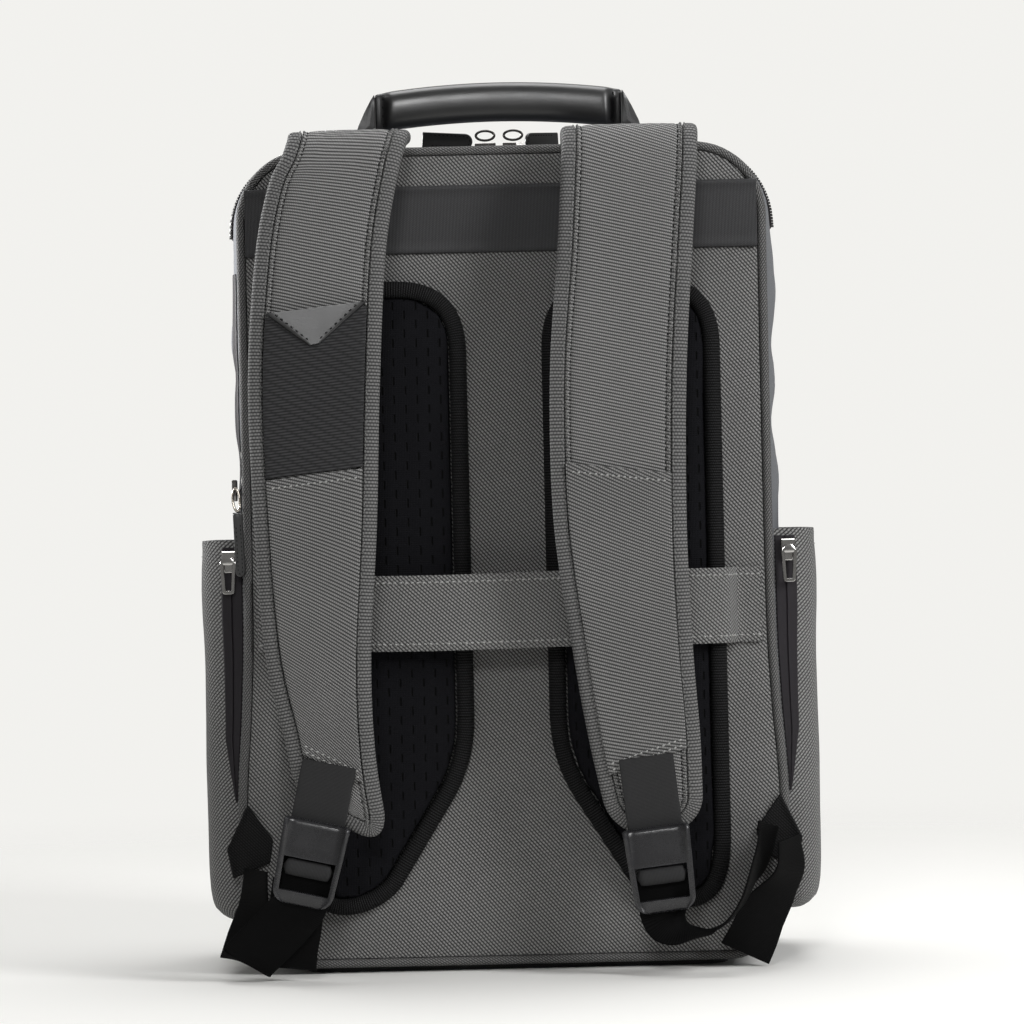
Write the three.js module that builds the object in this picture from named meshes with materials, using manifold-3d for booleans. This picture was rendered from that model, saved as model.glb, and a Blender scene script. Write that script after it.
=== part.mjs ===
import * as THREE from "three";
import { mergeVertices } from "three/addons/utils/BufferGeometryUtils.js";
import Module from "manifold-3d";

// A laptop backpack standing on its base, in millimetres, +Z up, with its wearer's side facing -Y.
// The origin is the middle of the flat base.

const wasm = await Module();
wasm.setup();

// The bag
const BAG_WIDTH = 297;
const BAG_HEIGHT = 462;
const BAG_DEPTH = 145;
const TOP_CORNER = 41;
const BOTTOM_CORNER = 34;
const CLOTH = 2;
const PANEL_PADDING = 6;
const PIPING = 5;
const SIDE_BULGE = 9.5;
const TOP_CROWN = 1;
const FRONT_BULGE = 16;
const BASE_PLATE = 3;
const BASE_WIDTH = 238;
const BASE_LENGTH = 124;
const BASE_CORNER = 18;
const CLEAR = 0.3;

// Zips on the bag
const ZIP_LINE = -12;
const ZIP_TAPE_WIDTH = 28;
const ZIP_TAPE = 0.9;
const ZIP_COIL_WIDTH = 6;
const ZIP_COIL = 1.1;
const ZIP_DROP = 46;
const SIDE_ZIP_LINE = -58;
const SIDE_ZIP_WIDTH = 14;
const SIDE_ZIP_LOW = 246;
const SIDE_ZIP_HIGH = 398;
const SLIDER_LENGTH = 12;
const SLIDER_WIDTH = 8;
const SLIDER_THICK = 2.8;
const SLIDER_SPACING = 16;
const RING_WIDE = 12;
const RING_TALL = 7.8;
const RING_WIRE = 1.7;
const RING_PLAY = 1;
const TOP_PULL_LENGTH = 29;
const TOP_PULL_WIDTH = 9;
const PULL_LEATHER = 1.8;
const SIDE_RING_LENGTH = 15;
const SIDE_PULL_LENGTH = 36;
const SIDE_PULL_WIDTH = 5.5;
const SIDE_SLIDER_RISE = 28;
const TOP_PULL_SWING = 50;

// Yoke, back pads and luggage strap
const YOKE_DROP = 22;
const YOKE_TALL = 38;
const YOKE_BAND = 2;
const PAD_INNER = 21;
const PAD_OUTER = 121;
const PAD_TOP = 387;
const PAD_BOTTOM = 33;
const PAD_CORNER = 40;
const PAD_SLANT_TOP = 129;
const PAD_THICK = 12;
const PAD_BINDING = 9.5;
const PAD_BINDING_THICK = 9;
const LUGGAGE_LOW = 181;
const LUGGAGE_HIGH = 223;
const LUGGAGE_REACH = 141;
const LUGGAGE_SEAM = 127;
const LUGGAGE_CLOTH = 2;
const LUGGAGE_SLACK = 12;

// Shoulder straps
const STRAP_PADDING = 9;
const STRAP_BINDING = 8;
const STRAP_BINDING_THICK = 8;
const STRAP_CREST = 4;
const STRAP_TIP = 78;
const STRAP_STAND = 45;
const STRAP_TIP_ROUND = 20;
const STRAP_LEAN = 15;
const STRAP_COVER = 1.2;
const COVER_HIGH = 279;
const COVER_LOW = 119;
const POCKET_PANEL_LOW = 288;
const POCKET_PANEL_HIGH = 368;
const LEATHER = 1.6;
const LEATHER_TAB_HEIGHT = 20;

// Webbing, buckles and wing tabs
const WEBBING_WIDTH = 30;
const WEBBING = 1.6;
const STRAP_WEBBING_TOP = 122;
const BUCKLE_WIDTH = 37;
const BUCKLE_FOOT = 33;
const BUCKLE_HEIGHT = 47;
const BUCKLE_THICK = 7;
const BUCKLE_WINDOW = 19;
const BUCKLE_LIP = 6;
const BUCKLE_BAR = 5;
const BUCKLE_WALL = 2.8;
const BUCKLE_ROUND = 4;
const WING_TOP = 96;
const WING_LOW = 55;
const WING_REACH = 26;
const WING_CLOTH = 2.4;

// Side pockets
const POCKET_LOW = 29;
const POCKET_HIGH = 244;
const POCKET_OUT = 27;
const POCKET_LENGTH = 122;
const POCKET_REAR = -65;
const POCKET_TAPE_THICK = 1;
const POCKET_TAPE_END = 97;
const POCKET_TAPE_TOP = 240;
const POCKET_SLIDER_DROP = 8;
const POCKET_PULL_LENGTH = 21;
const POCKET_PULL_WIDTH = 10;
const POCKET_PULL_THICK = 1.6;

// Handle
const HANDLE_GRIP_LENGTH = 136;
const HANDLE_GRIP_HEIGHT = 22;
const HANDLE_GRIP_THICK = 16;
const HANDLE_RISE = 26.5;
const HANDLE_ARCH = 5;
const HANDLE_LINE = -48;
const HANDLE_TAB_WIDTH = 22;
const HANDLE_TAB_REACH = 11;
const HANDLE_FOOT = 14;

const HALF = BAG_WIDTH / 2;
const ZIP_END = BAG_HEIGHT - ZIP_DROP;
const YOKE_HIGH = BAG_HEIGHT - YOKE_DROP;
const YOKE_LOW = YOKE_HIGH - YOKE_TALL;
const SIDE_SLIDER_HEIGHT = POCKET_HIGH + SIDE_SLIDER_RISE;
const BACK = -BAG_DEPTH / 2;
const FRONT = BAG_DEPTH / 2;
const FLOOR = BASE_PLATE + CLEAR;
const GUSSET_BACK = BACK + PIPING + CLEAR;
const GUSSET_FRONT = FRONT - PIPING - CLEAR;

// How wide the bag is at a share of its height
const FLARE = [
  { up: 0, wide: 1.03 },
  { up: 0.2, wide: 1.038 },
  { up: 0.33, wide: 1.013 },
  { up: 0.48, wide: 1 },
  { up: 1, wide: 1 },
];

// How far the folds of each side stand out, as shares of the side bulge, at shares of the height
const SIDE_FOLDS = [
  { up: 0, left: 0.1, right: 0.1 },
  { up: 0.08, left: 0.4, right: 0.4 },
  { up: 0.3, left: 0.6, right: 0.6 },
  { up: 0.53, left: 0.7, right: 0.85 },
  { up: 0.58, left: 0.5, right: 0.9 },
  { up: 0.62, left: 0.15, right: 0.75 },
  { up: 0.66, left: 0.7, right: 0.4 },
  { up: 0.7, left: 0.72, right: 0.84 },
  { up: 0.73, left: 0.52, right: 0.7 },
  { up: 0.76, left: 0.88, right: 0.58 },
  { up: 0.82, left: 0.7, right: 1 },
  { up: 0.9, left: 0.55, right: 0.6 },
  { up: 1, left: 0.3, right: 0.3 },
];

const lerp = (a, b, share) => a + (b - a) * share;
const vec = (x, y, z) => new THREE.Vector3(x, y, z);
const radians = THREE.MathUtils.degToRad;

// The value of a column between the rows of a table
function lookUp(table, key, at, column) {
  const last = table.length - 1;
  if (at <= table[0][key]) return table[0][column];
  if (at >= table[last][key]) return table[last][column];
  const next = table.findIndex((row) => row[key] >= at);
  const [a, b] = [table[next - 1], table[next]];
  return lerp(a[column], b[column], (at - a[key]) / (b[key] - a[key]));
}

// Rows of a table with smooth rows added between them
function smoothRows(table, steps) {
  const columns = Object.keys(table[0]);
  const rows = [];
  for (let i = 0; i < table.length - 1; i += 1) {
    const a = table[Math.max(i - 1, 0)];
    const b = table[i];
    const c = table[i + 1];
    const d = table[Math.min(i + 2, table.length - 1)];
    for (let k = 0; k < steps; k += 1) {
      const t = k / steps;
      const row = {};
      for (const name of columns) {
        const slopeIn = (c[name] - a[name]) / 2;
        const slopeOut = (d[name] - b[name]) / 2;
        const t2 = t * t;
        const t3 = t2 * t;
        row[name] = (2 * t3 - 3 * t2 + 1) * b[name] + (t3 - 2 * t2 + t) * slopeIn
          + (3 * t2 - 2 * t3) * c[name] + (t3 - t2) * slopeOut;
      }
      rows.push(row);
    }
  }
  rows.push({ ...table[table.length - 1] });
  return rows;
}

function finish(color, roughness, metalness = 0) {
  return new THREE.MeshStandardMaterial({ color, roughness, metalness });
}

const TWILL = finish(0x4a4a4b, 0.85);
const GUSSET_CLOTH = finish(0x54565b, 0.8);
const YOKE_CLOTH = finish(0x3a3a3c, 0.7);
const PIPING_CLOTH = finish(0x39393a, 0.8);
const PAD_MESH = finish(0x18181b, 0.95);
const PAD_RIB = finish(0x1c1c1e, 0.85);
const STRAP_TWILL = finish(0x545352, 0.85);
const BINDING_CLOTH = finish(0x3b3b3e, 0.85);
const RIBBED_CLOTH = finish(0x2c2c2e, 0.85);
const WEB = finish(0x232325, 0.8);
const LEATHER_BLACK = finish(0x222223, 0.45);
const BUCKLE_PLASTIC = finish(0x1b1b1c, 0.4);
const TAPE_CLOTH = finish(0x2d2b2c, 0.85);
const COIL_PLASTIC = finish(0x1a1a1b, 0.5);
const METAL = finish(0x9a9793, 0.3, 1);
const BASE_RUBBER = finish(0x262627, 0.7);

const bag = new THREE.Group();

function addMesh(name, geometry, material) {
  const mesh = new THREE.Mesh(geometry, material);
  mesh.name = name;
  bag.add(mesh);
  return mesh;
}

// Turns a mesh so that its own X and Z point along the given directions
function orient(mesh, alongX, alongZ) {
  const z = alongZ.clone().normalize();
  const x = alongX.clone().addScaledVector(z, -alongX.dot(z)).normalize();
  mesh.quaternion.setFromRotationMatrix(new THREE.Matrix4().makeBasis(x, z.clone().cross(x), z));
}

// A closed body from its corners and triangles, turned so that its faces point out
function body(corners, triangles) {
  const position = new Float32Array(corners.flatMap((p) => [p.x, p.y, p.z]));
  let volume = 0;
  for (const [a, b, c] of triangles) {
    volume += corners[a].dot(corners[b].clone().cross(corners[c]));
  }
  const faces = volume < 0 ? triangles.map(([a, b, c]) => [a, c, b]) : triangles;
  const geometry = new THREE.BufferGeometry();
  geometry.setAttribute("position", new THREE.BufferAttribute(position, 3));
  geometry.setIndex(faces.flat());
  geometry.computeVertexNormals();
  return geometry;
}

// A skin through rings of as many corners each, capped at both ends, or joined end to end
function loft(rings, joined = false) {
  const count = rings[0].length;
  const corners = rings.flat();
  const triangles = [];
  const spans = joined ? rings.length : rings.length - 1;
  for (let i = 0; i < spans; i += 1) {
    const here = i * count;
    const there = ((i + 1) % rings.length) * count;
    for (let k = 0; k < count; k += 1) {
      const next = (k + 1) % count;
      triangles.push([here + k, here + next, there + next], [here + k, there + next, there + k]);
    }
  }
  if (!joined) {
    const last = (rings.length - 1) * count;
    for (let k = 1; k < count - 1; k += 1) {
      triangles.push([0, k + 1, k], [last, last + k, last + k + 1]);
    }
  }
  return body(corners, triangles);
}

function toManifold(geometry) {
  const bare = geometry.clone();
  bare.deleteAttribute("normal");
  bare.deleteAttribute("uv");
  const merged = mergeVertices(bare, 1e-4);
  const index = merged.index.array;
  const mesh = new wasm.Mesh({
    numProp: 3,
    vertProperties: new Float32Array(merged.attributes.position.array),
    triVerts: new Uint32Array(index),
  });
  return new wasm.Manifold(mesh);
}

function fromManifold(solid) {
  const mesh = solid.getMesh();
  const geometry = new THREE.BufferGeometry();
  geometry.setAttribute("position", new THREE.BufferAttribute(mesh.vertProperties, 3));
  geometry.setIndex(new THREE.BufferAttribute(mesh.triVerts, 1));
  geometry.computeVertexNormals();
  return geometry;
}

// Outline of the bag seen from behind, with the direction that points out at each corner

const SIDE_STEPS = 16;
const CORNER_STEPS = 4;
const FLAT_STEPS = 5;

function bagOutline() {
  const points = [];
  const add = (x, z, nx, nz) => {
    const wide = lookUp(FLARE, "up", z / BAG_HEIGHT, "wide");
    points.push({ x: x * wide, z, nx, nz });
  };
  const corner = (x, z, radius, from) => {
    for (let k = 0; k < CORNER_STEPS; k += 1) {
      const angle = radians(from + (90 * k) / CORNER_STEPS);
      add(x + radius * Math.cos(angle), z + radius * Math.sin(angle), Math.cos(angle), Math.sin(angle));
    }
  };
  const run = (from, to, steps, nx, nz) => {
    for (let k = 0; k < steps; k += 1) {
      add(lerp(from.x, to.x, k / steps), lerp(from.z, to.z, k / steps), nx, nz);
    }
  };
  const lowX = HALF - BOTTOM_CORNER;
  const lowZ = FLOOR + BOTTOM_CORNER;
  const highX = HALF - TOP_CORNER;
  const highZ = BAG_HEIGHT - TOP_CORNER;
  run({ x: -lowX, z: FLOOR }, { x: lowX, z: FLOOR }, FLAT_STEPS, 0, -1);
  corner(lowX, lowZ, BOTTOM_CORNER, -90);
  run({ x: HALF, z: lowZ }, { x: HALF, z: highZ }, SIDE_STEPS, 1, 0);
  corner(highX, highZ, TOP_CORNER, 0);
  run({ x: highX, z: BAG_HEIGHT }, { x: -highX, z: BAG_HEIGHT }, FLAT_STEPS, 0, 1);
  corner(-highX, highZ, TOP_CORNER, 90);
  run({ x: -HALF, z: highZ }, { x: -HALF, z: lowZ }, SIDE_STEPS, -1, 0);
  corner(-lowX, lowZ, BOTTOM_CORNER, 180);
  return points;
}

const OUTLINE = bagOutline();

// The outline drawn in by some distance, at one depth
const ringAt = (y, inset) => OUTLINE.map((p) => vec(p.x - p.nx * inset, y, p.z - p.nz * inset));

// A point of the gusset's outer face, pushed out by the side folds and the crown of the top
function gussetPoint(p, y, off = 0) {
  const share = (y - GUSSET_BACK) / (GUSSET_FRONT - GUSSET_BACK);
  const swell = Math.sin(Math.PI * THREE.MathUtils.clamp(share, 0, 1)) ** 0.8;
  const side = p.nx < 0 ? "left" : "right";
  const fold = lookUp(SIDE_FOLDS, "up", p.z / BAG_HEIGHT, side);
  const out = swell * (SIDE_BULGE * fold * Math.abs(p.nx) + TOP_CROWN * Math.max(p.nz, 0)) + off;
  return vec(p.x + p.nx * out, y, p.z + p.nz * out);
}

const GUSSET_DEPTHS = [
  GUSSET_BACK,
  SIDE_ZIP_LINE - SIDE_ZIP_WIDTH / 2,
  SIDE_ZIP_LINE + SIDE_ZIP_WIDTH / 2,
  ZIP_LINE - ZIP_TAPE_WIDTH / 2,
  ZIP_LINE + ZIP_TAPE_WIDTH / 2,
  lerp(ZIP_LINE, GUSSET_FRONT, 0.65),
  GUSSET_FRONT,
];

function sideGusset() {
  const outer = GUSSET_DEPTHS.map((y) => OUTLINE.map((p) => gussetPoint(p, y)));
  const inner = GUSSET_DEPTHS.map((y) => OUTLINE.map((p) => gussetPoint(p, y, -CLOTH))).reverse();
  addMesh("side_gusset", loft([...outer, ...inner], true), GUSSET_CLOTH);
}

// A domed panel inside its piping: rings shrink to the middle on its face and again on its lining
function panel(name, y, facing, bulge, thick, material) {
  const shares = [1, 0.93, 0.75, 0.4];
  const middle = { x: 0, z: (BAG_HEIGHT + FLOOR) / 2 };
  const ring = (share, lift) => ringAt(0, PIPING + CLEAR).map((p) => vec(
    lerp(middle.x, p.x, share),
    y + facing * (bulge * (1 - share ** 2.4) - lift),
    lerp(middle.z, p.z, share),
  ));
  const rings = [...shares.map((s) => ring(s, 0)).reverse(), ...shares.map((s) => ring(s, thick))];
  addMesh(name, loft(rings), material);
}

function piping(name, y) {
  const sides = 6;
  const rings = OUTLINE.map((p) => {
    const ring = [];
    for (let k = 0; k < sides; k += 1) {
      const angle = (2 * Math.PI * k) / sides;
      const inset = PIPING / 2 + (PIPING / 2) * Math.cos(angle);
      ring.push(vec(p.x - p.nx * inset, y + (PIPING / 2) * Math.sin(angle), p.z - p.nz * inset));
    }
    return ring;
  });
  addMesh(name, loft(rings, true), PIPING_CLOTH);
}

function basePanel() {
  const shape = new THREE.Shape();
  const x = BASE_WIDTH / 2;
  const y = BASE_LENGTH / 2;
  const r = BASE_CORNER;
  shape.absarc(x - r, y - r, r, 0, Math.PI / 2);
  shape.absarc(-x + r, y - r, r, Math.PI / 2, Math.PI);
  shape.absarc(-x + r, -y + r, r, Math.PI, 1.5 * Math.PI);
  shape.absarc(x - r, -y + r, r, 1.5 * Math.PI, 2 * Math.PI);
  const geometry = new THREE.ExtrudeGeometry(shape, {
    depth: BASE_PLATE, bevelEnabled: false, curveSegments: 5, steps: 1,
  });
  addMesh("base_panel", geometry, BASE_RUBBER);
}

// A strip that follows the gusset at some depths, from one outline corner to another
function gussetStrip(corners, depths, off, thick) {
  const rings = corners.map((p) => [
    ...depths.map((y) => gussetPoint(p, y, off)),
    ...depths.map((y) => gussetPoint(p, y, off + thick)).reverse(),
  ]);
  return loft(rings);
}

function mainZip() {
  const corners = OUTLINE.filter((p) => p.z >= ZIP_END);
  const half = ZIP_TAPE_WIDTH / 2;
  const tape = gussetStrip(corners, [ZIP_LINE - half, ZIP_LINE + half], CLEAR, ZIP_TAPE);
  addMesh("main_zip_tape", tape, TAPE_CLOTH);
  const coilHalf = ZIP_COIL_WIDTH / 2;
  const lift = 2 * CLEAR + ZIP_TAPE;
  const coil = gussetStrip(corners, [ZIP_LINE - coilHalf, ZIP_LINE + coilHalf], lift, ZIP_COIL);
  addMesh("main_zip_coil", coil, COIL_PLASTIC);
}

function sideZip() {
  const corners = OUTLINE.filter((p) => p.nx === -1 && p.z > SIDE_ZIP_LOW && p.z < SIDE_ZIP_HIGH);
  const half = SIDE_ZIP_WIDTH / 2;
  const depths = [SIDE_ZIP_LINE - half, SIDE_ZIP_LINE + half];
  addMesh("side_zip_tape", gussetStrip(corners, depths, CLEAR, ZIP_TAPE), TAPE_CLOTH);
}

// A zip slider: a tapered body with a bridge on it, along X, standing on its lower face
function sliderGeometry() {
  const shape = new THREE.Shape();
  const long = SLIDER_LENGTH / 2;
  const wide = SLIDER_WIDTH / 2;
  shape.moveTo(-long, -wide * 0.55);
  shape.lineTo(-long * 0.3, -wide);
  shape.lineTo(long, -wide);
  shape.lineTo(long, wide);
  shape.lineTo(-long * 0.3, wide);
  shape.lineTo(-long, wide * 0.55);
  shape.closePath();
  return new THREE.ExtrudeGeometry(shape, {
    depth: SLIDER_THICK - 1, bevelEnabled: true, bevelThickness: 0.5, bevelSize: 0.5,
    bevelOffset: -0.5, bevelSegments: 1, steps: 1,
  }).translate(0, 0, 0.5);
}

// An oval ring of wire in the plane of X and Z
function ringGeometry(wide, tall) {
  const radius = (wide - RING_WIRE) / 2;
  const ring = new THREE.TorusGeometry(radius, RING_WIRE / 2, 6, 14).rotateX(Math.PI / 2);
  return ring.scale(1, 1, (tall - RING_WIRE) / (wide - RING_WIRE));
}

// A leather pull with a round end, in the plane of X and Z, its ring end at the origin, along -X
function pullGeometry(length, width, thick) {
  const shape = new THREE.Shape();
  const half = width / 2;
  shape.moveTo(0, -half);
  shape.lineTo(0, half);
  shape.lineTo(-length + half, half);
  shape.absarc(-length + half, 0, half, Math.PI / 2, 1.5 * Math.PI);
  shape.closePath();
  const geometry = new THREE.ExtrudeGeometry(shape, {
    depth: thick, bevelEnabled: false, curveSegments: 6, steps: 1,
  });
  return geometry.translate(0, 0, -thick / 2).rotateX(Math.PI / 2);
}

const ZIP_TOP = BAG_HEIGHT + TOP_CROWN + 2 * CLEAR + ZIP_TAPE + ZIP_COIL;

function topSliders() {
  for (const [side, sign] of [["left", -1], ["right", 1]]) {
    const slider = addMesh(`top_slider_${side}`, sliderGeometry(), METAL);
    slider.position.set((sign * SLIDER_SPACING) / 2, ZIP_LINE, ZIP_TOP + CLEAR);
    if (sign > 0) slider.rotation.z = Math.PI;
    const ring = addMesh(`top_ring_${side}`, ringGeometry(RING_WIDE, RING_TALL), METAL);
    const ringZ = ZIP_TOP + CLEAR + SLIDER_THICK + CLEAR + RING_TALL / 2;
    ring.position.set((sign * SLIDER_SPACING) / 2, ZIP_LINE, ringZ);
    const pull = addMesh(
      `top_pull_${side}`, pullGeometry(TOP_PULL_LENGTH, TOP_PULL_WIDTH, PULL_LEATHER), LEATHER_BLACK,
    );
    const pullX = SLIDER_SPACING / 2 + RING_WIDE / 2 + CLEAR + PULL_LEATHER / 2;
    pull.position.set(sign * pullX, ZIP_LINE, ZIP_TOP + CLEAR + TOP_PULL_WIDTH / 2);
    if (sign > 0) pull.rotation.z = Math.PI + radians(TOP_PULL_SWING);
  }
}

// The side slider sits on its tape, and its ring reaches round the piping to the pull behind it
function sideSlider() {
  const at = OUTLINE.find((p) => p.nx === -1 && p.z <= SIDE_SLIDER_HEIGHT);
  const face = gussetPoint({ ...at, z: SIDE_SLIDER_HEIGHT }, SIDE_ZIP_LINE);
  const out = vec(-1, 0, 0);
  const slider = addMesh("side_slider", sliderGeometry(), METAL);
  orient(slider, vec(0, 0, 1), out);
  slider.position.set(face.x - 4 * CLEAR - ZIP_TAPE, SIDE_ZIP_LINE, SIDE_SLIDER_HEIGHT);
  const top = vec(
    slider.position.x - SLIDER_THICK / 2, SIDE_ZIP_LINE - (SLIDER_WIDTH + RING_WIRE) / 2 - RING_PLAY,
    SIDE_SLIDER_HEIGHT,
  );
  const low = vec(-HALF - RING_WIRE, BACK - 1.5 * RING_WIRE - CLEAR, top.z - SIDE_RING_LENGTH * 0.7);
  const down = top.clone().sub(low);
  const wide = SIDE_PULL_WIDTH + 2 * RING_WIRE;
  const ring = addMesh("side_ring", ringGeometry(wide, down.length() + RING_WIRE), METAL);
  orient(ring, down.clone().cross(vec(-1, -0.9, 0)), down);
  ring.position.copy(top).add(low).multiplyScalar(0.5);
  const pull = addMesh(
    "side_pull", pullGeometry(SIDE_PULL_LENGTH, SIDE_PULL_WIDTH, PULL_LEATHER), LEATHER_BLACK,
  );
  orient(pull, vec(0, 0, 1), vec(1, 0, 0));
  pull.position.set(low.x, low.y, low.z - RING_WIRE / 2 - RING_PLAY);
}

// Yoke band across the top of the back panel
function yokeBand() {
  const long = HALF - PIPING - CLEAR;
  const geometry = new THREE.BoxGeometry(2 * long, YOKE_BAND, YOKE_HIGH - YOKE_LOW);
  const mesh = addMesh("yoke_band", geometry, YOKE_CLOTH);
  mesh.position.set(0, BACK - CLEAR - YOKE_BAND / 2, (YOKE_HIGH + YOKE_LOW) / 2);
}

// Outline of a back pad, its inner side slanting out below
function padOutline(sign) {
  const shape = new THREE.Shape();
  const footX = lerp(PAD_INNER, PAD_OUTER, 0.75);
  const slantX = lerp(PAD_INNER, PAD_OUTER, 0.44);
  const slantZ = lerp(PAD_BOTTOM, PAD_SLANT_TOP, 0.14);
  const sideZ = lerp(PAD_BOTTOM, PAD_SLANT_TOP, 0.44);
  shape.moveTo(PAD_INNER, PAD_SLANT_TOP);
  shape.lineTo(PAD_INNER, PAD_TOP - PAD_CORNER);
  shape.quadraticCurveTo(PAD_INNER, PAD_TOP, PAD_INNER + PAD_CORNER, PAD_TOP);
  shape.lineTo(PAD_OUTER - PAD_CORNER, PAD_TOP);
  shape.quadraticCurveTo(PAD_OUTER, PAD_TOP, PAD_OUTER, PAD_TOP - PAD_CORNER);
  shape.lineTo(PAD_OUTER, sideZ);
  shape.quadraticCurveTo(PAD_OUTER, PAD_BOTTOM, footX, PAD_BOTTOM);
  shape.quadraticCurveTo(lerp(footX, slantX, 0.55), PAD_BOTTOM, slantX, slantZ);
  shape.closePath();
  const points = shape.getPoints(5);
  points.pop();
  return points.map((p) => ({ x: sign * p.x, z: p.y }));
}

// A closed outline moved inward by some distance at each corner
function insetOutline(points, inset) {
  const count = points.length;
  let area = 0;
  points.forEach((p, i) => {
    const q = points[(i + 1) % count];
    area += p.x * q.z - q.x * p.z;
  });
  const turn = Math.sign(area);
  return points.map((p, i) => {
    const a = points[(i + count - 1) % count];
    const b = points[(i + 1) % count];
    const first = new THREE.Vector2(p.x - a.x, p.z - a.z).normalize();
    const second = new THREE.Vector2(b.x - p.x, b.z - p.z).normalize();
    const inward = new THREE.Vector2(-turn * (first.y + second.y), turn * (first.x + second.x)).normalize();
    const reach = inset / Math.max(0.5, inward.dot(new THREE.Vector2(-turn * first.y, turn * first.x)));
    return { x: p.x + inward.x * reach, z: p.z + inward.y * reach };
  });
}

function backPad(side, sign) {
  const outline = padOutline(sign);
  const binding = [
    { inset: 0, out: 0 },
    { inset: 0, out: 0.45 },
    { inset: 0.3, out: 0.9 },
    { inset: 0.65, out: 1 },
    { inset: 1, out: 0.85 },
    { inset: 1, out: 0 },
  ];
  const loops = binding.map((row) => insetOutline(outline, Math.max(row.inset * PAD_BINDING, 0.01)));
  const rings = outline.map((p, i) => binding.map((row, k) => {
    const at = row.inset === 0 ? p : loops[k][i];
    return vec(at.x, BACK - CLEAR - row.out * PAD_BINDING_THICK, at.z);
  }));
  addMesh(`pad_binding_${side}`, loft(rings, true), PAD_RIB);

  const edge = insetOutline(outline, PAD_BINDING + CLEAR);
  const middle = { x: (sign * (PAD_INNER + PAD_OUTER)) / 2, z: lerp(PAD_BOTTOM, PAD_TOP, 0.55) };
  const levels = [
    { share: 1, out: 0 },
    { share: 1, out: 0.72 },
    { share: 0.86, out: 0.95 },
    { share: 0.4, out: 1 },
  ];
  const pad = levels.map((level) => edge.map((p) => vec(
    lerp(middle.x, p.x, level.share),
    BACK - CLEAR - level.out * PAD_THICK,
    lerp(middle.z, p.z, level.share),
  )));
  addMesh(`pad_${side}`, loft(pad), PAD_MESH);
}

// A flat strip through rows, each with its middle and the direction of its width
function ribbon(rows, width, thick) {
  const rings = rows.map((row, i) => {
    const before = rows[Math.max(i - 1, 0)].at;
    const after = rows[Math.min(i + 1, rows.length - 1)].at;
    const along = after.clone().sub(before).normalize();
    const wide = row.wide.clone().addScaledVector(along, -row.wide.dot(along)).normalize();
    const out = along.clone().cross(wide).normalize();
    const corner = (u, v) => row.at.clone().addScaledVector(wide, (u * width) / 2)
      .addScaledVector(out, (v * thick) / 2);
    return [corner(-1, -1), corner(1, -1), corner(1, 1), corner(-1, 1)];
  });
  return loft(rings);
}

// Luggage strap: sewn flat at both ends, over the pads with some slack in the middle
function luggageStrap() {
  const flat = BACK - CLEAR - LUGGAGE_CLOTH / 2;
  const overPads = BACK - 2 * CLEAR - PAD_THICK - LUGGAGE_CLOTH;
  const half = [
    { x: LUGGAGE_REACH, y: flat },
    { x: LUGGAGE_SEAM, y: flat },
    { x: lerp(PAD_OUTER, LUGGAGE_SEAM, 0.45), y: lerp(flat, overPads, 0.45) },
    { x: lerp(PAD_OUTER, PAD_INNER, 0.03), y: overPads },
    { x: lerp(PAD_OUTER, PAD_INNER, 0.3), y: overPads - 0.5 * LUGGAGE_SLACK },
    { x: lerp(PAD_OUTER, PAD_INNER, 0.7), y: overPads - 0.88 * LUGGAGE_SLACK },
    { x: 0, y: overPads - LUGGAGE_SLACK },
  ];
  const mirrored = half.slice(0, -1).reverse().map((p) => ({ x: -p.x, y: p.y }));
  const middle = (LUGGAGE_LOW + LUGGAGE_HIGH) / 2;
  const rows = [...half, ...mirrored].map((p) => ({ at: vec(p.x, p.y, middle), wide: vec(0, 0, 1) }));
  addMesh("luggage_strap", ribbon(rows, LUGGAGE_HIGH - LUGGAGE_LOW, LUGGAGE_CLOTH), TWILL);
}

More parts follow.
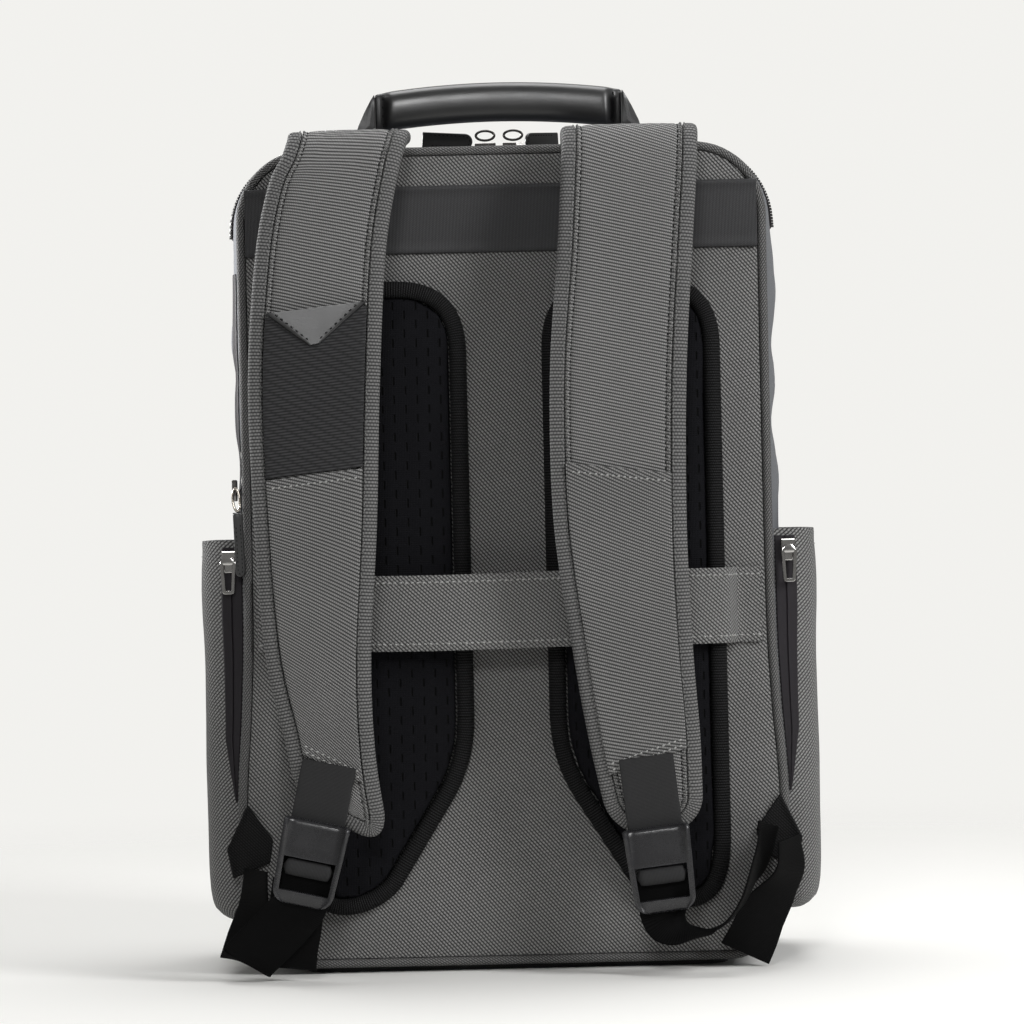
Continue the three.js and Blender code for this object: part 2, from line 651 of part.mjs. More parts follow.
// Shoulder straps. A strap leaves the yoke band, climbs over its crest and hangs down in front of
// the pads. Its rows run from the root to the tip: up is a share from the tip to the crest, out a
// share of how far it stands off, inner and outer its edges as shares of half the bag's width, and
// lean how far its outer edge is lifted over its inner edge.
const STRAP_ROWS = {
  left: [
    { up: 0.894, out: 0, inner: 0.37, outer: 0.79, lean: 0 },
    { up: 0.955, out: 0.01, inner: 0.36, outer: 0.79, lean: -0.1 },
    { up: 0.99, out: 0.12, inner: 0.345, outer: 0.79, lean: -0.25 },
    { up: 1, out: 0.3, inner: 0.325, outer: 0.79, lean: -0.3 },
    { up: 0.98, out: 0.48, inner: 0.345, outer: 0.81, lean: -0.25 },
    { up: 0.933, out: 0.62, inner: 0.381, outer: 0.86, lean: -0.1 },
    { up: 0.83, out: 0.78, inner: 0.428, outer: 0.911, lean: 0 },
    { up: 0.65, out: 0.92, inner: 0.458, outer: 0.946, lean: 0 },
    { up: 0.443, out: 1, inner: 0.481, outer: 0.932, lean: 0 },
    { up: 0.263, out: 0.97, inner: 0.513, outer: 0.902, lean: 0 },
    { up: 0.13, out: 0.86, inner: 0.505, outer: 0.84, lean: 0.4 },
    { up: 0.02, out: 0.73, inner: 0.455, outer: 0.8, lean: 1 },
  ],
  right: [
    { up: 0.894, out: 0, inner: 0.23, outer: 0.73, lean: 0 },
    { up: 0.955, out: 0.01, inner: 0.23, outer: 0.735, lean: -0.1 },
    { up: 0.99, out: 0.12, inner: 0.23, outer: 0.74, lean: -0.25 },
    { up: 1, out: 0.3, inner: 0.229, outer: 0.741, lean: -0.3 },
    { up: 0.98, out: 0.48, inner: 0.233, outer: 0.737, lean: -0.25 },
    { up: 0.933, out: 0.62, inner: 0.226, outer: 0.729, lean: -0.1 },
    { up: 0.83, out: 0.78, inner: 0.207, outer: 0.707, lean: 0 },
    { up: 0.65, out: 0.92, inner: 0.168, outer: 0.673, lean: 0 },
    { up: 0.443, out: 1, inner: 0.17, outer: 0.66, lean: 0 },
    { up: 0.263, out: 0.97, inner: 0.229, outer: 0.673, lean: 0 },
    { up: 0.13, out: 0.86, inner: 0.285, outer: 0.695, lean: 0 },
    { up: 0, out: 0.72, inner: 0.36, outer: 0.7, lean: 0.1 },
  ],
};

const STRAP_ROOT = BACK - CLEAR - YOKE_BAND - CLEAR - STRAP_PADDING / 2;
const STRAP_CREST_Z = BAG_HEIGHT + STRAP_CREST;

// A strap laid out flat: its stations along the side view's curve, and the two edges of each
function strapLayout(side, sign) {
  const rows = smoothRows(STRAP_ROWS[side], 2).map((row) => ({
    y: STRAP_ROOT - row.out * STRAP_STAND,
    z: lerp(STRAP_TIP, STRAP_CREST_Z, row.up),
    inner: sign * row.inner * HALF,
    outer: sign * row.outer * HALF,
    lift: row.lean * STRAP_LEAN,
  }));
  rows[0].s = 0;
  for (let i = 1; i < rows.length; i += 1) {
    const step = Math.hypot(rows[i].y - rows[i - 1].y, rows[i].z - rows[i - 1].z);
    rows[i].s = rows[i - 1].s + step;
  }
  const total = rows[rows.length - 1].s;
  const round = [0.7, 0.4, 0.18, 0.05].map((share) => total - share * STRAP_TIP_ROUND);
  const crest = rows.findIndex((row) => row.z === Math.max(...rows.map((r) => r.z)));
  const at = (s) => {
    const clamped = THREE.MathUtils.clamp(s, 0, total);
    const row = {};
    for (const name of ["y", "z", "inner", "outer", "lift"]) {
      row[name] = lookUp(rows, "s", clamped, name);
    }
    const next = Math.max(rows.findIndex((r) => r.s >= clamped), 1);
    const along = new THREE.Vector2(
      rows[next].y - rows[next - 1].y, rows[next].z - rows[next - 1].z,
    ).normalize();
    const spare = s - clamped;
    row.y += along.x * spare;
    row.z += along.y * spare;
    return row;
  };
  // The direction out of the strap's face, blended over each corner of the side view
  const faceAt = (s) => {
    const near = 1;
    const a = at(s - near);
    const b = at(s + near);
    return new THREE.Vector2(b.z - a.z, a.y - b.y).normalize();
  };
  const place = (x, s, lift) => {
    const row = at(s);
    const out = faceAt(s);
    return vec(x, row.y + out.x * lift, row.z + out.y * lift);
  };
  const heightToS = (z) => {
    for (let i = crest + 1; i < rows.length; i += 1) {
      if (rows[i].z <= z) {
        return lerp(rows[i - 1].s, rows[i].s, (rows[i - 1].z - z) / (rows[i - 1].z - rows[i].z));
      }
    }
    return total;
  };
  const stations = [...rows.map((row) => row.s).filter((s) => s < total - STRAP_TIP_ROUND), ...round, total];
  const edges = stations.map((s) => {
    const row = at(s);
    const left = total - s;
    const cut = left < STRAP_TIP_ROUND
      ? STRAP_TIP_ROUND - Math.sqrt(STRAP_TIP_ROUND ** 2 - (STRAP_TIP_ROUND - left) ** 2) : 0;
    const tilt = row.lift * (1 - (2 * cut) / Math.abs(row.outer - row.inner));
    return {
      inner: { x: row.inner + sign * cut, z: s + tilt },
      outer: { x: row.outer - sign * cut, z: s - tilt },
    };
  });
  return { sign, stations, edges, place, heightToS, total };
}

// The closed edge of a strap, down its inner side and up its outer side
const strapEdge = (layout) => [
  ...layout.edges.map((e) => e.inner),
  ...layout.edges.map((e) => e.outer).reverse(),
];

function strapInset(layout, inset) {
  const edge = strapEdge(layout);
  const moved = insetOutline(edge, inset);
  const last = edge.length - 1;
  moved[0].z = edge[0].z;
  moved[0].x = edge[0].x + layout.sign * inset;
  moved[last].z = edge[last].z;
  moved[last].x = edge[last].x - layout.sign * inset;
  return moved;
}

function strapCore(side, layout) {
  const edge = strapInset(layout, STRAP_BINDING + CLEAR);
  const last = edge.length - 1;
  const section = [
    { across: 0, lift: -0.3 },
    { across: 0.12, lift: -0.5 },
    { across: 0.88, lift: -0.5 },
    { across: 1, lift: -0.3 },
    { across: 1, lift: 0.3 },
    { across: 0.88, lift: 0.5 },
    { across: 0.12, lift: 0.5 },
    { across: 0, lift: 0.3 },
  ];
  const rings = layout.stations.map((s, i) => section.map((corner) => {
    const a = edge[i];
    const b = edge[last - i];
    const x = lerp(a.x, b.x, corner.across);
    return layout.place(x, lerp(a.z, b.z, corner.across), corner.lift * STRAP_PADDING);
  }));
  addMesh(`shoulder_strap_${side}`, loft(rings), STRAP_TWILL);
}

function strapBinding(side, layout) {
  const outer = strapEdge(layout);
  const section = [
    { inset: 0, lift: -0.2 },
    { inset: 0.3, lift: -0.5 },
    { inset: 1, lift: -0.4 },
    { inset: 1, lift: 0.4 },
    { inset: 0.3, lift: 0.5 },
    { inset: 0, lift: 0.2 },
  ];
  const inset = section.map((corner) => strapInset(layout, Math.max(corner.inset, 0.001) * STRAP_BINDING));
  const rings = outer.map((p, i) => section.map((corner, k) => {
    const at = inset[k][i];
    return layout.place(at.x, at.z, corner.lift * STRAP_BINDING_THICK);
  }));
  addMesh(`strap_binding_${side}`, loft(rings), BINDING_CLOTH);
}

// A flat layer on a strap's face between two heights, as wide as a share of the strap's core
function strapLayer(layout, high, low, spans, lift, thick) {
  const top = layout.heightToS(high);
  const bottom = layout.heightToS(low);
  const between = layout.stations.filter((s) => s > top + 1 && s < bottom - 1);
  const rings = [top, ...between, bottom].map((s) => {
    const share = (s - top) / (bottom - top);
    const near = layout.stations.findIndex((station) => station >= s);
    const i = Math.max(near, 1);
    const t = (s - layout.stations[i - 1]) / (layout.stations[i] - layout.stations[i - 1]);
    const inner = lerp(layout.edges[i - 1].inner.x, layout.edges[i].inner.x, t);
    const outer = lerp(layout.edges[i - 1].outer.x, layout.edges[i].outer.x, t);
    const rim = (STRAP_BINDING + CLEAR) * layout.sign;
    const span = spans(share);
    const xs = [lerp(inner + rim, outer - rim, span[0]), lerp(inner + rim, outer - rim, span[1])];
    return [
      layout.place(xs[0], s, lift),
      layout.place(xs[1], s, lift),
      layout.place(xs[1], s, lift + thick),
      layout.place(xs[0], s, lift + thick),
    ];
  });
  return loft(rings);
}

const STRAP_FACE = STRAP_PADDING / 2 + CLEAR;

function strapLayers(side, layout) {
  const cover = strapLayer(layout, COVER_HIGH, COVER_LOW, () => [0, 1], STRAP_FACE, STRAP_COVER);
  addMesh(`strap_cover_${side}`, cover, RIBBED_CLOTH);
  if (side === "left") {
    const pocket = strapLayer(
      layout, POCKET_PANEL_HIGH, POCKET_PANEL_LOW, () => [0, 1], STRAP_FACE, STRAP_COVER,
    );
    addMesh("strap_pocket_panel", pocket, RIBBED_CLOTH);
    const tabTop = POCKET_PANEL_HIGH + 2;
    const tab = strapLayer(
      layout, tabTop, tabTop - LEATHER_TAB_HEIGHT, (t) => [0.5 * t * 0.9, 1 - 0.5 * t * 0.9],
      STRAP_FACE + STRAP_COVER + CLEAR, LEATHER,
    );
    addMesh("leather_tab", tab, LEATHER_BLACK);
  }
}

// Ladder buckles: the middle of each lies below the tip of its strap by a share of the buckle's
// height, turned with its webbing
const BUCKLES = {
  left: { acrossTip: 0.88, drop: 0.245, turn: 12.7 },
  right: { acrossTip: 0.52, drop: 0.404, turn: -6.4 },
};

function bucklePlace(side, layout) {
  const spec = BUCKLES[side];
  const tip = layout.place(0, layout.total, STRAP_FACE + STRAP_COVER + 2 * CLEAR + WEBBING);
  const tipRow = STRAP_ROWS[side].at(-1);
  const x = layout.sign * HALF * lerp(tipRow.inner, tipRow.outer, spec.acrossTip);
  const turn = radians(spec.turn);
  return {
    at: vec(x, tip.y - CLEAR - BUCKLE_THICK / 2, STRAP_TIP - spec.drop * BUCKLE_HEIGHT),
    turn,
    up: vec(Math.sin(turn), 0, Math.cos(turn)),
    right: vec(Math.cos(turn), 0, -Math.sin(turn)),
  };
}

function buckleGeometry() {
  const shape = new THREE.Shape();
  const top = BUCKLE_WIDTH / 2;
  const foot = BUCKLE_FOOT / 2;
  const half = BUCKLE_HEIGHT / 2;
  const r = BUCKLE_ROUND;
  shape.moveTo(-foot + r, -half);
  shape.lineTo(foot - r, -half);
  shape.quadraticCurveTo(foot, -half, foot, -half + r);
  shape.lineTo(top, half - r);
  shape.quadraticCurveTo(top, half, top - r, half);
  shape.lineTo(-top + r, half);
  shape.quadraticCurveTo(-top, half, -top, half - r);
  shape.lineTo(-foot, -half + r);
  shape.quadraticCurveTo(-foot, -half, -foot + r, -half);
  const slot = (BUCKLE_WINDOW - BUCKLE_BAR) / 2;
  const wide = foot - BUCKLE_WALL;
  for (const low of [-half + BUCKLE_LIP, -half + BUCKLE_LIP + slot + BUCKLE_BAR]) {
    const hole = new THREE.Path();
    hole.moveTo(-wide, low);
    hole.lineTo(-wide, low + slot);
    hole.lineTo(wide, low + slot);
    hole.lineTo(wide, low);
    hole.closePath();
    shape.holes.push(hole);
  }
  const bevel = 1;
  const geometry = new THREE.ExtrudeGeometry(shape, {
    depth: BUCKLE_THICK - 2 * bevel, bevelEnabled: true, bevelThickness: bevel, bevelSize: bevel,
    bevelOffset: -bevel, bevelSegments: 1, curveSegments: 2, steps: 1,
  });
  return geometry.translate(0, 0, -BUCKLE_THICK / 2 + bevel).rotateX(Math.PI / 2);
}

const BUCKLE_SHAPE = buckleGeometry();

function buckle(side, seat) {
  const mesh = addMesh(`ladder_buckle_${side}`, BUCKLE_SHAPE.clone(), BUCKLE_PLASTIC);
  mesh.position.copy(seat.at);
  mesh.rotation.y = seat.turn;
}

// Webbing from the strap's cover down behind the head of its buckle
function strapWebbing(side, layout, seat) {
  const lift = STRAP_FACE + STRAP_COVER + 2 * CLEAR + WEBBING / 2;
  const start = layout.heightToS(STRAP_WEBBING_TOP);
  const head = seat.at.clone().addScaledVector(seat.up, BUCKLE_HEIGHT / 2);
  const behind = seat.at.y + BUCKLE_THICK / 2 + CLEAR + WEBBING / 2;
  const topAt = layout.place(0, start, lift);
  const reach = topAt.z - head.z;
  topAt.x = head.x + (seat.up.x / seat.up.z) * reach;
  const end = head.clone().addScaledVector(seat.up, -BUCKLE_HEIGHT * 0.3);
  const rows = [
    topAt,
    vec(lerp(topAt.x, head.x, 0.5), lerp(topAt.y, behind, 0.5), lerp(topAt.z, head.z, 0.5)),
    vec(head.x, behind, head.z),
    vec(end.x, behind, end.z),
  ].map((at) => ({ at, wide: seat.right }));
  addMesh(`strap_webbing_${side}`, ribbon(rows, WEBBING_WIDTH, WEBBING), WEB);
}

// The direction of a strip's width, from its turn about the vertical and its dip
function widthDirection(turn, dip) {
  const flat = Math.cos(radians(dip));
  return vec(Math.cos(radians(turn)) * flat, Math.sin(radians(turn)) * flat, Math.sin(radians(dip)));
}

// Webbing from the buckle to the wing tab, and free ends. to is a share of the way across from the
// buckle to the wing tab, deep the same in depth for the strip's rear edge, and high a share of the
// height of the buckle's lower end.
const WEBBING_RUNS = {
  adjuster_webbing_left: [
    { to: -0.22, deep: 0.027, high: 1.6, turn: 0, dip: -13 },
    { to: 0, deep: 0.03, high: 1.05, turn: 0, dip: -13 },
    { to: 0.25, deep: 0.12, high: 0.84, turn: 0, dip: -20 },
    { to: 0.6, deep: 0.2, high: 0.62, turn: 0, dip: -28 },
    { to: 1.08, deep: 0.3, high: 0.34, turn: 0, dip: -28 },
    { to: 1.2, deep: 0.42, high: 0.25, turn: 6, dip: -27 },
    { to: 1.2, deep: 0.56, high: 0.3, turn: 15, dip: -24 },
    { to: 1.15, deep: 0.76, high: 0.58, turn: 36, dip: -18 },
    { to: 1.06, deep: 0.96, high: 0.98, turn: 56, dip: -8 },
    { to: 1, deep: 1, high: 1.4, turn: 62, dip: 0 },
  ],
  adjuster_webbing_right: [
    { to: -0.036, deep: 0.027, high: 1.55, turn: 0, dip: 6 },
    { to: 0, deep: 0.033, high: 1.05, turn: 0, dip: 6 },
    { to: 0.04, deep: 0.12, high: 0.88, turn: 10, dip: 3 },
    { to: 0.14, deep: 0.28, high: 0.74, turn: 38, dip: 0 },
    { to: 0.28, deep: 0.4, high: 0.68, turn: 62, dip: 0 },
    { to: 0.42, deep: 0.46, high: 0.69, turn: 76, dip: 0 },
    { to: 0.56, deep: 0.46, high: 0.84, turn: 80, dip: 0 },
    { to: 0.69, deep: 0.5, high: 1.15, turn: 80, dip: 0 },
    { to: 0.81, deep: 0.7, high: 1.6, turn: 76, dip: 0 },
    { to: 0.91, deep: 0.96, high: 1.95, turn: 68, dip: 0 },
    { to: 0.95, deep: 1, high: 2.25, turn: 64, dip: 0 },
  ],
  webbing_tail_left: [
    { to: 0.02, deep: 0.09, high: 1.3, turn: 0, dip: -13 },
    { to: 0.08, deep: 0.14, high: 1.08, turn: 0, dip: -12 },
    { to: 0.17, deep: 0.26, high: 0.7, turn: 0, dip: -10 },
    { to: 0.27, deep: 0.35, high: 0.4, turn: 0, dip: -11 },
    { to: 0.31, deep: 0.4, high: 0.17, turn: 0, dip: -12 },
  ],
  webbing_tail_right: [
    { to: 1.13, deep: 1, high: 2.02, turn: 64, dip: 0 },
    { to: 1.14, deep: 0.99, high: 1.55, turn: 54, dip: 0 },
    { to: 1.01, deep: 0.98, high: 1.15, turn: 34, dip: 0 },
    { to: 0.88, deep: 0.93, high: 0.8, turn: 24, dip: -6 },
    { to: 0.79, deep: 0.9, high: 0.46, turn: 16, dip: -14 },
    { to: 0.72, deep: 0.88, high: 0.22, turn: 8, dip: -17 },
  ],
};

function webbingRun(name, seat, wing) {
  const foot = seat.at.clone().addScaledVector(seat.up, -BUCKLE_HEIGHT / 2);
  const depthFrom = seat.at.y + BUCKLE_THICK / 2;
  const rows = smoothRows(WEBBING_RUNS[name], 2).map((row) => {
    const sideways = (WEBBING_WIDTH / 2) * Math.sin(radians(row.turn));
    const y = lerp(depthFrom, wing.y, row.deep) - sideways;
    return {
      at: vec(lerp(foot.x, wing.x, row.to), y, foot.z * row.high),
      wide: widthDirection(row.turn * Math.sign(wing.x), row.dip),
    };
  });
  addMesh(name, ribbon(rows, WEBBING_WIDTH, WEBBING), WEB);
}

// Wing tabs, sewn into the side seams, that carry the lower webbing
function wingTab(side, sign) {
  const seam = HALF * lookUp(FLARE, "up", WING_TOP / BAG_HEIGHT, "wide");
  const shape = new THREE.Shape();
  const low = WING_LOW;
  const mid = lerp(WING_LOW, WING_TOP, 0.4);
  const tab = [
    { reach: -0.19, z: WING_TOP },
    { reach: 0.27, z: mid },
    { reach: 0.15, z: low },
    { reach: -0.65, z: lerp(low, mid, 0.5) },
    { reach: -0.73, z: lerp(low, mid, 1.3) },
  ];
  tab.forEach((p, i) => {
    shape[i ? "lineTo" : "moveTo"](sign * (seam + p.reach * WING_REACH), p.z);
  });
  shape.closePath();
  const geometry = new THREE.ExtrudeGeometry(shape, { depth: WING_CLOTH, bevelEnabled: false, steps: 1 });
  geometry.rotateX(Math.PI / 2).translate(0, BACK - CLEAR, 0);
  addMesh(`wing_tab_${side}`, geometry, TWILL);
}

const wingSeat = (sign) => vec(
  sign * HALF * 0.97, BACK - 2 * CLEAR - WING_CLOTH - WEBBING / 2, lerp(WING_LOW, WING_TOP, 0.4),
);

for (const [side, sign] of [["left", -1], ["right", 1]]) {
  backPad(side, sign);
  const layout = strapLayout(side, sign);
  strapCore(side, layout);
  strapBinding(side, layout);
  strapLayers(side, layout);
  const seat = bucklePlace(side, layout);
  buckle(side, seat);
  strapWebbing(side, layout, seat);
  wingTab(side, sign);
  webbingRun(`adjuster_webbing_${side}`, seat, wingSeat(sign));
  webbingRun(`webbing_tail_${side}`, seat, wingSeat(sign));
}

// Side pockets. Levels run up the pocket: out is a share of how far it stands off the side, and
// back and front how far its ends are drawn in, as shares of its length.
const POCKET_LEVELS = [
  { up: 0, out: 0.35, back: 0.16, front: 0.16 },
  { up: 0.02, out: 0.55, back: 0.07, front: 0.08 },
  { up: 0.08, out: 0.72, back: 0.01, front: 0.02 },
  { up: 0.35, out: 0.77, back: 0, front: 0 },
  { up: 0.8, out: 0.97, back: 0, front: 0 },
  { up: 1, out: 0.93, back: 0, front: 0.01 },
];

// Section of a pocket seen from above, from its rear edge to its front edge
const POCKET_SECTION = [
  { along: 0, out: -0.5 },
  { along: 0, out: 0 },
  { along: 0.02, out: 0.5 },
  { along: 0.1, out: 0.92 },
  { along: 0.3, out: 1.02 },
  { along: 0.7, out: 1.02 },
  { along: 0.93, out: 0.85 },
  { along: 1, out: 0 },
  { along: 1, out: -0.5 },
];

function pocketPoint(sign, level, corner, inset = 0) {
  const z = lerp(POCKET_LOW, POCKET_HIGH, level.up);
  const half = HALF * lookUp(FLARE, "up", z / BAG_HEIGHT, "wide");
  const from = POCKET_REAR + level.back * POCKET_LENGTH + inset;
  const to = POCKET_REAR + (1 - level.front) * POCKET_LENGTH - inset;
  const out = corner.out > 0 ? corner.out * (level.out * POCKET_OUT - inset) : corner.out * POCKET_OUT;
  return vec(sign * (half + out), lerp(from, to, corner.along), z);
}

const BODY_CUT = toManifold(loft(
  GUSSET_DEPTHS.map((y) => OUTLINE.map((p) => gussetPoint(p, y, CLEAR))),
));

function sidePocket(side, sign) {
  const outer = loft(POCKET_LEVELS.map((level) => POCKET_SECTION.map((c) => pocketPoint(sign, level, c))));
  const rings = POCKET_LEVELS.map((level) => POCKET_SECTION.map((c) => pocketPoint(sign, level, c, CLOTH)));
  rings[0].forEach((p) => { p.z += CLOTH; });
  rings[1].forEach((p) => { p.z += CLOTH; });
  rings[rings.length - 1].forEach((p) => { p.z += CLOTH; });
  const shell = toManifold(outer).subtract(toManifold(loft(rings))).subtract(BODY_CUT);
  addMesh(`pocket_${side}`, fromManifold(shell), TWILL);
}

// A level of the pocket between two rows of its table
function pocketLevel(z) {
  const up = (z - POCKET_LOW) / (POCKET_HIGH - POCKET_LOW);
  return {
    up,
    out: lookUp(POCKET_LEVELS, "up", up, "out"),
    back: lookUp(POCKET_LEVELS, "up", up, "back"),
    front: lookUp(POCKET_LEVELS, "up", up, "front"),
  };
}

function pocketZip(side, sign) {
  const start = 0.08;
  const tape = (z, share, lift) => {
    const level = pocketLevel(z);
    const a = pocketPoint(sign, level, POCKET_SECTION[1]);
    const b = pocketPoint(sign, level, POCKET_SECTION[2]);
    const at = a.lerp(b, share);
    at.y -= lift;
    return at;
  };
  const heights = [POCKET_TAPE_TOP, lerp(POCKET_TAPE_TOP, POCKET_TAPE_END, 0.3),
    lerp(POCKET_TAPE_TOP, POCKET_TAPE_END, 0.75), POCKET_TAPE_END];
  const reach = [1, 1, 0.85, start + 0.12];
  const rings = heights.map((z, i) => [
    tape(z, start, CLEAR),
    tape(z, reach[i], CLEAR),
    tape(z, reach[i], CLEAR + POCKET_TAPE_THICK),
    tape(z, start, CLEAR + POCKET_TAPE_THICK),
  ]);
  addMesh(`pocket_zip_${side}`, loft(rings), TAPE_CLOTH);

  const height = POCKET_TAPE_TOP - POCKET_SLIDER_DROP;
  const up = vec(0, 0, 1);
  const across = tape(height, 1, 0).sub(tape(height, 0, 0)).setZ(0).normalize();
  const out = vec(sign * across.y, -Math.abs(across.x), 0);
  const seat = tape(height, 0.6, 0);
  const lift = 2 * CLEAR + POCKET_TAPE_THICK;
  const slider = addMesh(`pocket_slider_${side}`, sliderGeometry(), METAL);
  orient(slider, up, out);
  slider.position.copy(seat).addScaledVector(out, lift + CLEAR);
  const shape = new THREE.Shape();
  const top = POCKET_PULL_WIDTH / 2;
  const foot = top * 0.7;
  shape.moveTo(-foot, -POCKET_PULL_LENGTH);
  shape.lineTo(foot, -POCKET_PULL_LENGTH);
  shape.lineTo(top, 0);
  shape.lineTo(-top, 0);
  shape.closePath();
  const hole = new THREE.Path();
  hole.moveTo(-foot + 2, -POCKET_PULL_LENGTH * 0.72);
  hole.lineTo(-top + 2.2, -2);
  hole.lineTo(top - 2.2, -2);
  hole.lineTo(foot - 2, -POCKET_PULL_LENGTH * 0.72);
  hole.closePath();
  shape.holes.push(hole);
  const pull = addMesh(
    `pocket_pull_${side}`,
    new THREE.ExtrudeGeometry(shape, { depth: POCKET_PULL_THICK, bevelEnabled: false, steps: 1 }),
    METAL,
  );
  orient(pull, vec(1, 0, 0), out);
  pull.position.copy(seat).addScaledVector(out, lift + 2 * CLEAR + SLIDER_THICK);
  pull.position.z += SLIDER_LENGTH / 4;
}

// Handle: a padded leather grip over the bag's top, carried by two bent tabs
function handle() {
  const sides = 8;
  const stations = [-1, -0.97, -0.6, -0.2, 0.2, 0.6, 0.97, 1];
  const middle = BAG_HEIGHT + HANDLE_RISE;
  const rings = stations.map((at) => {
    const shrink = Math.abs(at) === 1 ? 0.72 : 1;
    const ring = [];
    for (let k = 0; k < sides; k += 1) {
      const angle = (2 * Math.PI * (k + 0.5)) / sides;
      const z = middle - HANDLE_ARCH * at * at + (shrink * HANDLE_GRIP_HEIGHT * Math.sin(angle)) / 2;
      const y = HANDLE_LINE + (shrink * HANDLE_GRIP_THICK * Math.cos(angle)) / 2;
      ring.push(vec((at * HANDLE_GRIP_LENGTH) / 2, y, z));
    }
    return ring;
  });
  addMesh("handle_grip", loft(rings), LEATHER_BLACK);
  const seatZ = gussetPoint({ x: 0, z: BAG_HEIGHT, nx: 0, nz: 1 }, HANDLE_LINE, CLEAR + LEATHER / 2).z;
  for (const [side, sign] of [["left", -1], ["right", 1]]) {
    const x = HANDLE_GRIP_LENGTH / 2 + CLEAR + LEATHER / 2;
    const end = middle - HANDLE_ARCH;
    const rows = [
      vec(sign * x, HANDLE_LINE, end + HANDLE_GRIP_HEIGHT * 0.2),
      vec(sign * (x + HANDLE_TAB_REACH * 0.3), HANDLE_LINE, end - HANDLE_GRIP_HEIGHT * 0.1),
      vec(sign * (x + HANDLE_TAB_REACH * 0.8), HANDLE_LINE, lerp(seatZ, end, 0.45)),
      vec(sign * (x + HANDLE_TAB_REACH * 1.05), HANDLE_LINE, lerp(seatZ, end, 0.1)),
      vec(sign * (x + HANDLE_TAB_REACH * 1.3), HANDLE_LINE, seatZ),
      vec(sign * (x + HANDLE_TAB_REACH + HANDLE_FOOT), HANDLE_LINE, seatZ),
    ].map((at) => ({ at, wide: vec(0, 1, 0) }));
    addMesh(`handle_tab_${side}`, ribbon(rows, HANDLE_TAB_WIDTH, LEATHER), LEATHER_BLACK);
  }
}

sideGusset();
panel("back_panel", BACK, -1, 0, PANEL_PADDING, TWILL);
panel("front_panel", FRONT, 1, FRONT_BULGE, CLOTH, TWILL);
piping("back_piping", BACK + PIPING / 2);
piping("front_piping", FRONT - PIPING / 2);
basePanel();
mainZip();
topSliders();
sideZip();
sideSlider();
yokeBand();
luggageStrap();
for (const [side, sign] of [["left", -1], ["right", 1]]) {
  sidePocket(side, sign);
  pocketZip(side, sign);
}
handle();

export default bag;
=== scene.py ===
"""Dresses a laptop backpack: its cloth, padding, zips, leather and webbing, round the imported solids.

Laid out as an add-on and run as a script. Shapes are worked out in millimetres, with the wearer's
side facing -Y, and become metres when a piece is made.
"""

import math

import bmesh
import bpy
import numpy as np
from bpy.props import FloatProperty, FloatVectorProperty, PointerProperty
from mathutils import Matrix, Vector


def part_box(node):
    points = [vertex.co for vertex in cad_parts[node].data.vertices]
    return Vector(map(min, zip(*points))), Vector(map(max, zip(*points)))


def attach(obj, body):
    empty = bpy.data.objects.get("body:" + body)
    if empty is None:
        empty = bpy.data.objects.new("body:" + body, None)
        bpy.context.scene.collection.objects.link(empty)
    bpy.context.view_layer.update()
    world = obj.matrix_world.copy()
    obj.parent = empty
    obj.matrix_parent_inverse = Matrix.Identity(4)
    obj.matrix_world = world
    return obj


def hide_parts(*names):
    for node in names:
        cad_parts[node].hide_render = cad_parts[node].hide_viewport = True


bl_info = {
    "name": "Laptop Backpack",
    "version": (1, 0, 0),
    "blender": (4, 5, 0),
    "location": "3D View > Sidebar > Backpack",
    "description": "Builds the cloth, padding and fittings of a laptop backpack",
    "category": "Object",
}

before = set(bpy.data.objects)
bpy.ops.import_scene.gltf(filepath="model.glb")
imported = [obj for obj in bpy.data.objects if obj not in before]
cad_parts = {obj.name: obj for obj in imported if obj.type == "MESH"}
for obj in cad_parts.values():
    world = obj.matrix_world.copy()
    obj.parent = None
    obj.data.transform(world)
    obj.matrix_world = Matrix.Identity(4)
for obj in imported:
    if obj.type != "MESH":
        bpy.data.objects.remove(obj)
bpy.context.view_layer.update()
MM = 0.001
CLEAR = 0.3
SIDES = (("left", -1), ("right", 1))

# The bag
HALF = 148.5
HIGH = 462
BACK = -72.5
FRONT = 72.5
FLOOR = 3.3
TOP_CORNER = 41
BOTTOM_CORNER = 34
CLOTH = 2
PANEL_PADDING = 6
PIPING = 5
SIDE_BULGE = 9.5
TOP_CROWN = 1
FRONT_BULGE = 16
LINING_SHIFT = 300
GUSSET_BACK = BACK + PIPING + CLEAR
GUSSET_FRONT = FRONT - PIPING - CLEAR
FLARE = np.array([[0, 1.03], [0.2, 1.038], [0.33, 1.013], [0.48, 1], [1, 1]])
FOLD_HEIGHTS = [0, 0.08, 0.3, 0.53, 0.58, 0.62, 0.66, 0.7, 0.73, 0.76, 0.82, 0.9, 1]
SIDE_FOLDS = {
    "left": [0.1, 0.4, 0.6, 0.7, 0.5, 0.15, 0.7, 0.72, 0.52, 0.88, 0.7, 0.55, 0.3],
    "right": [0.1, 0.4, 0.6, 0.85, 0.9, 0.75, 0.4, 0.84, 0.7, 0.58, 1, 0.6, 0.3],
}

# Zips
ZIP_LINE = -12
ZIP_TAPE_WIDTH = 28
ZIP_TAPE = 0.9
ZIP_COIL_WIDTH = 6
ZIP_COIL = 1.1
ZIP_TOOTH = 1.5
SLIDER_BEVEL = 0.35
ZIP_END = 416
SIDE_ZIP_LINE = -58
SIDE_ZIP_WIDTH = 14
SIDE_ZIP_LOW = 246
SIDE_ZIP_HIGH = 398
TOP_PULL = (29, 9, 1.8)
SIDE_PULL = (36, 5.5, 1.8)

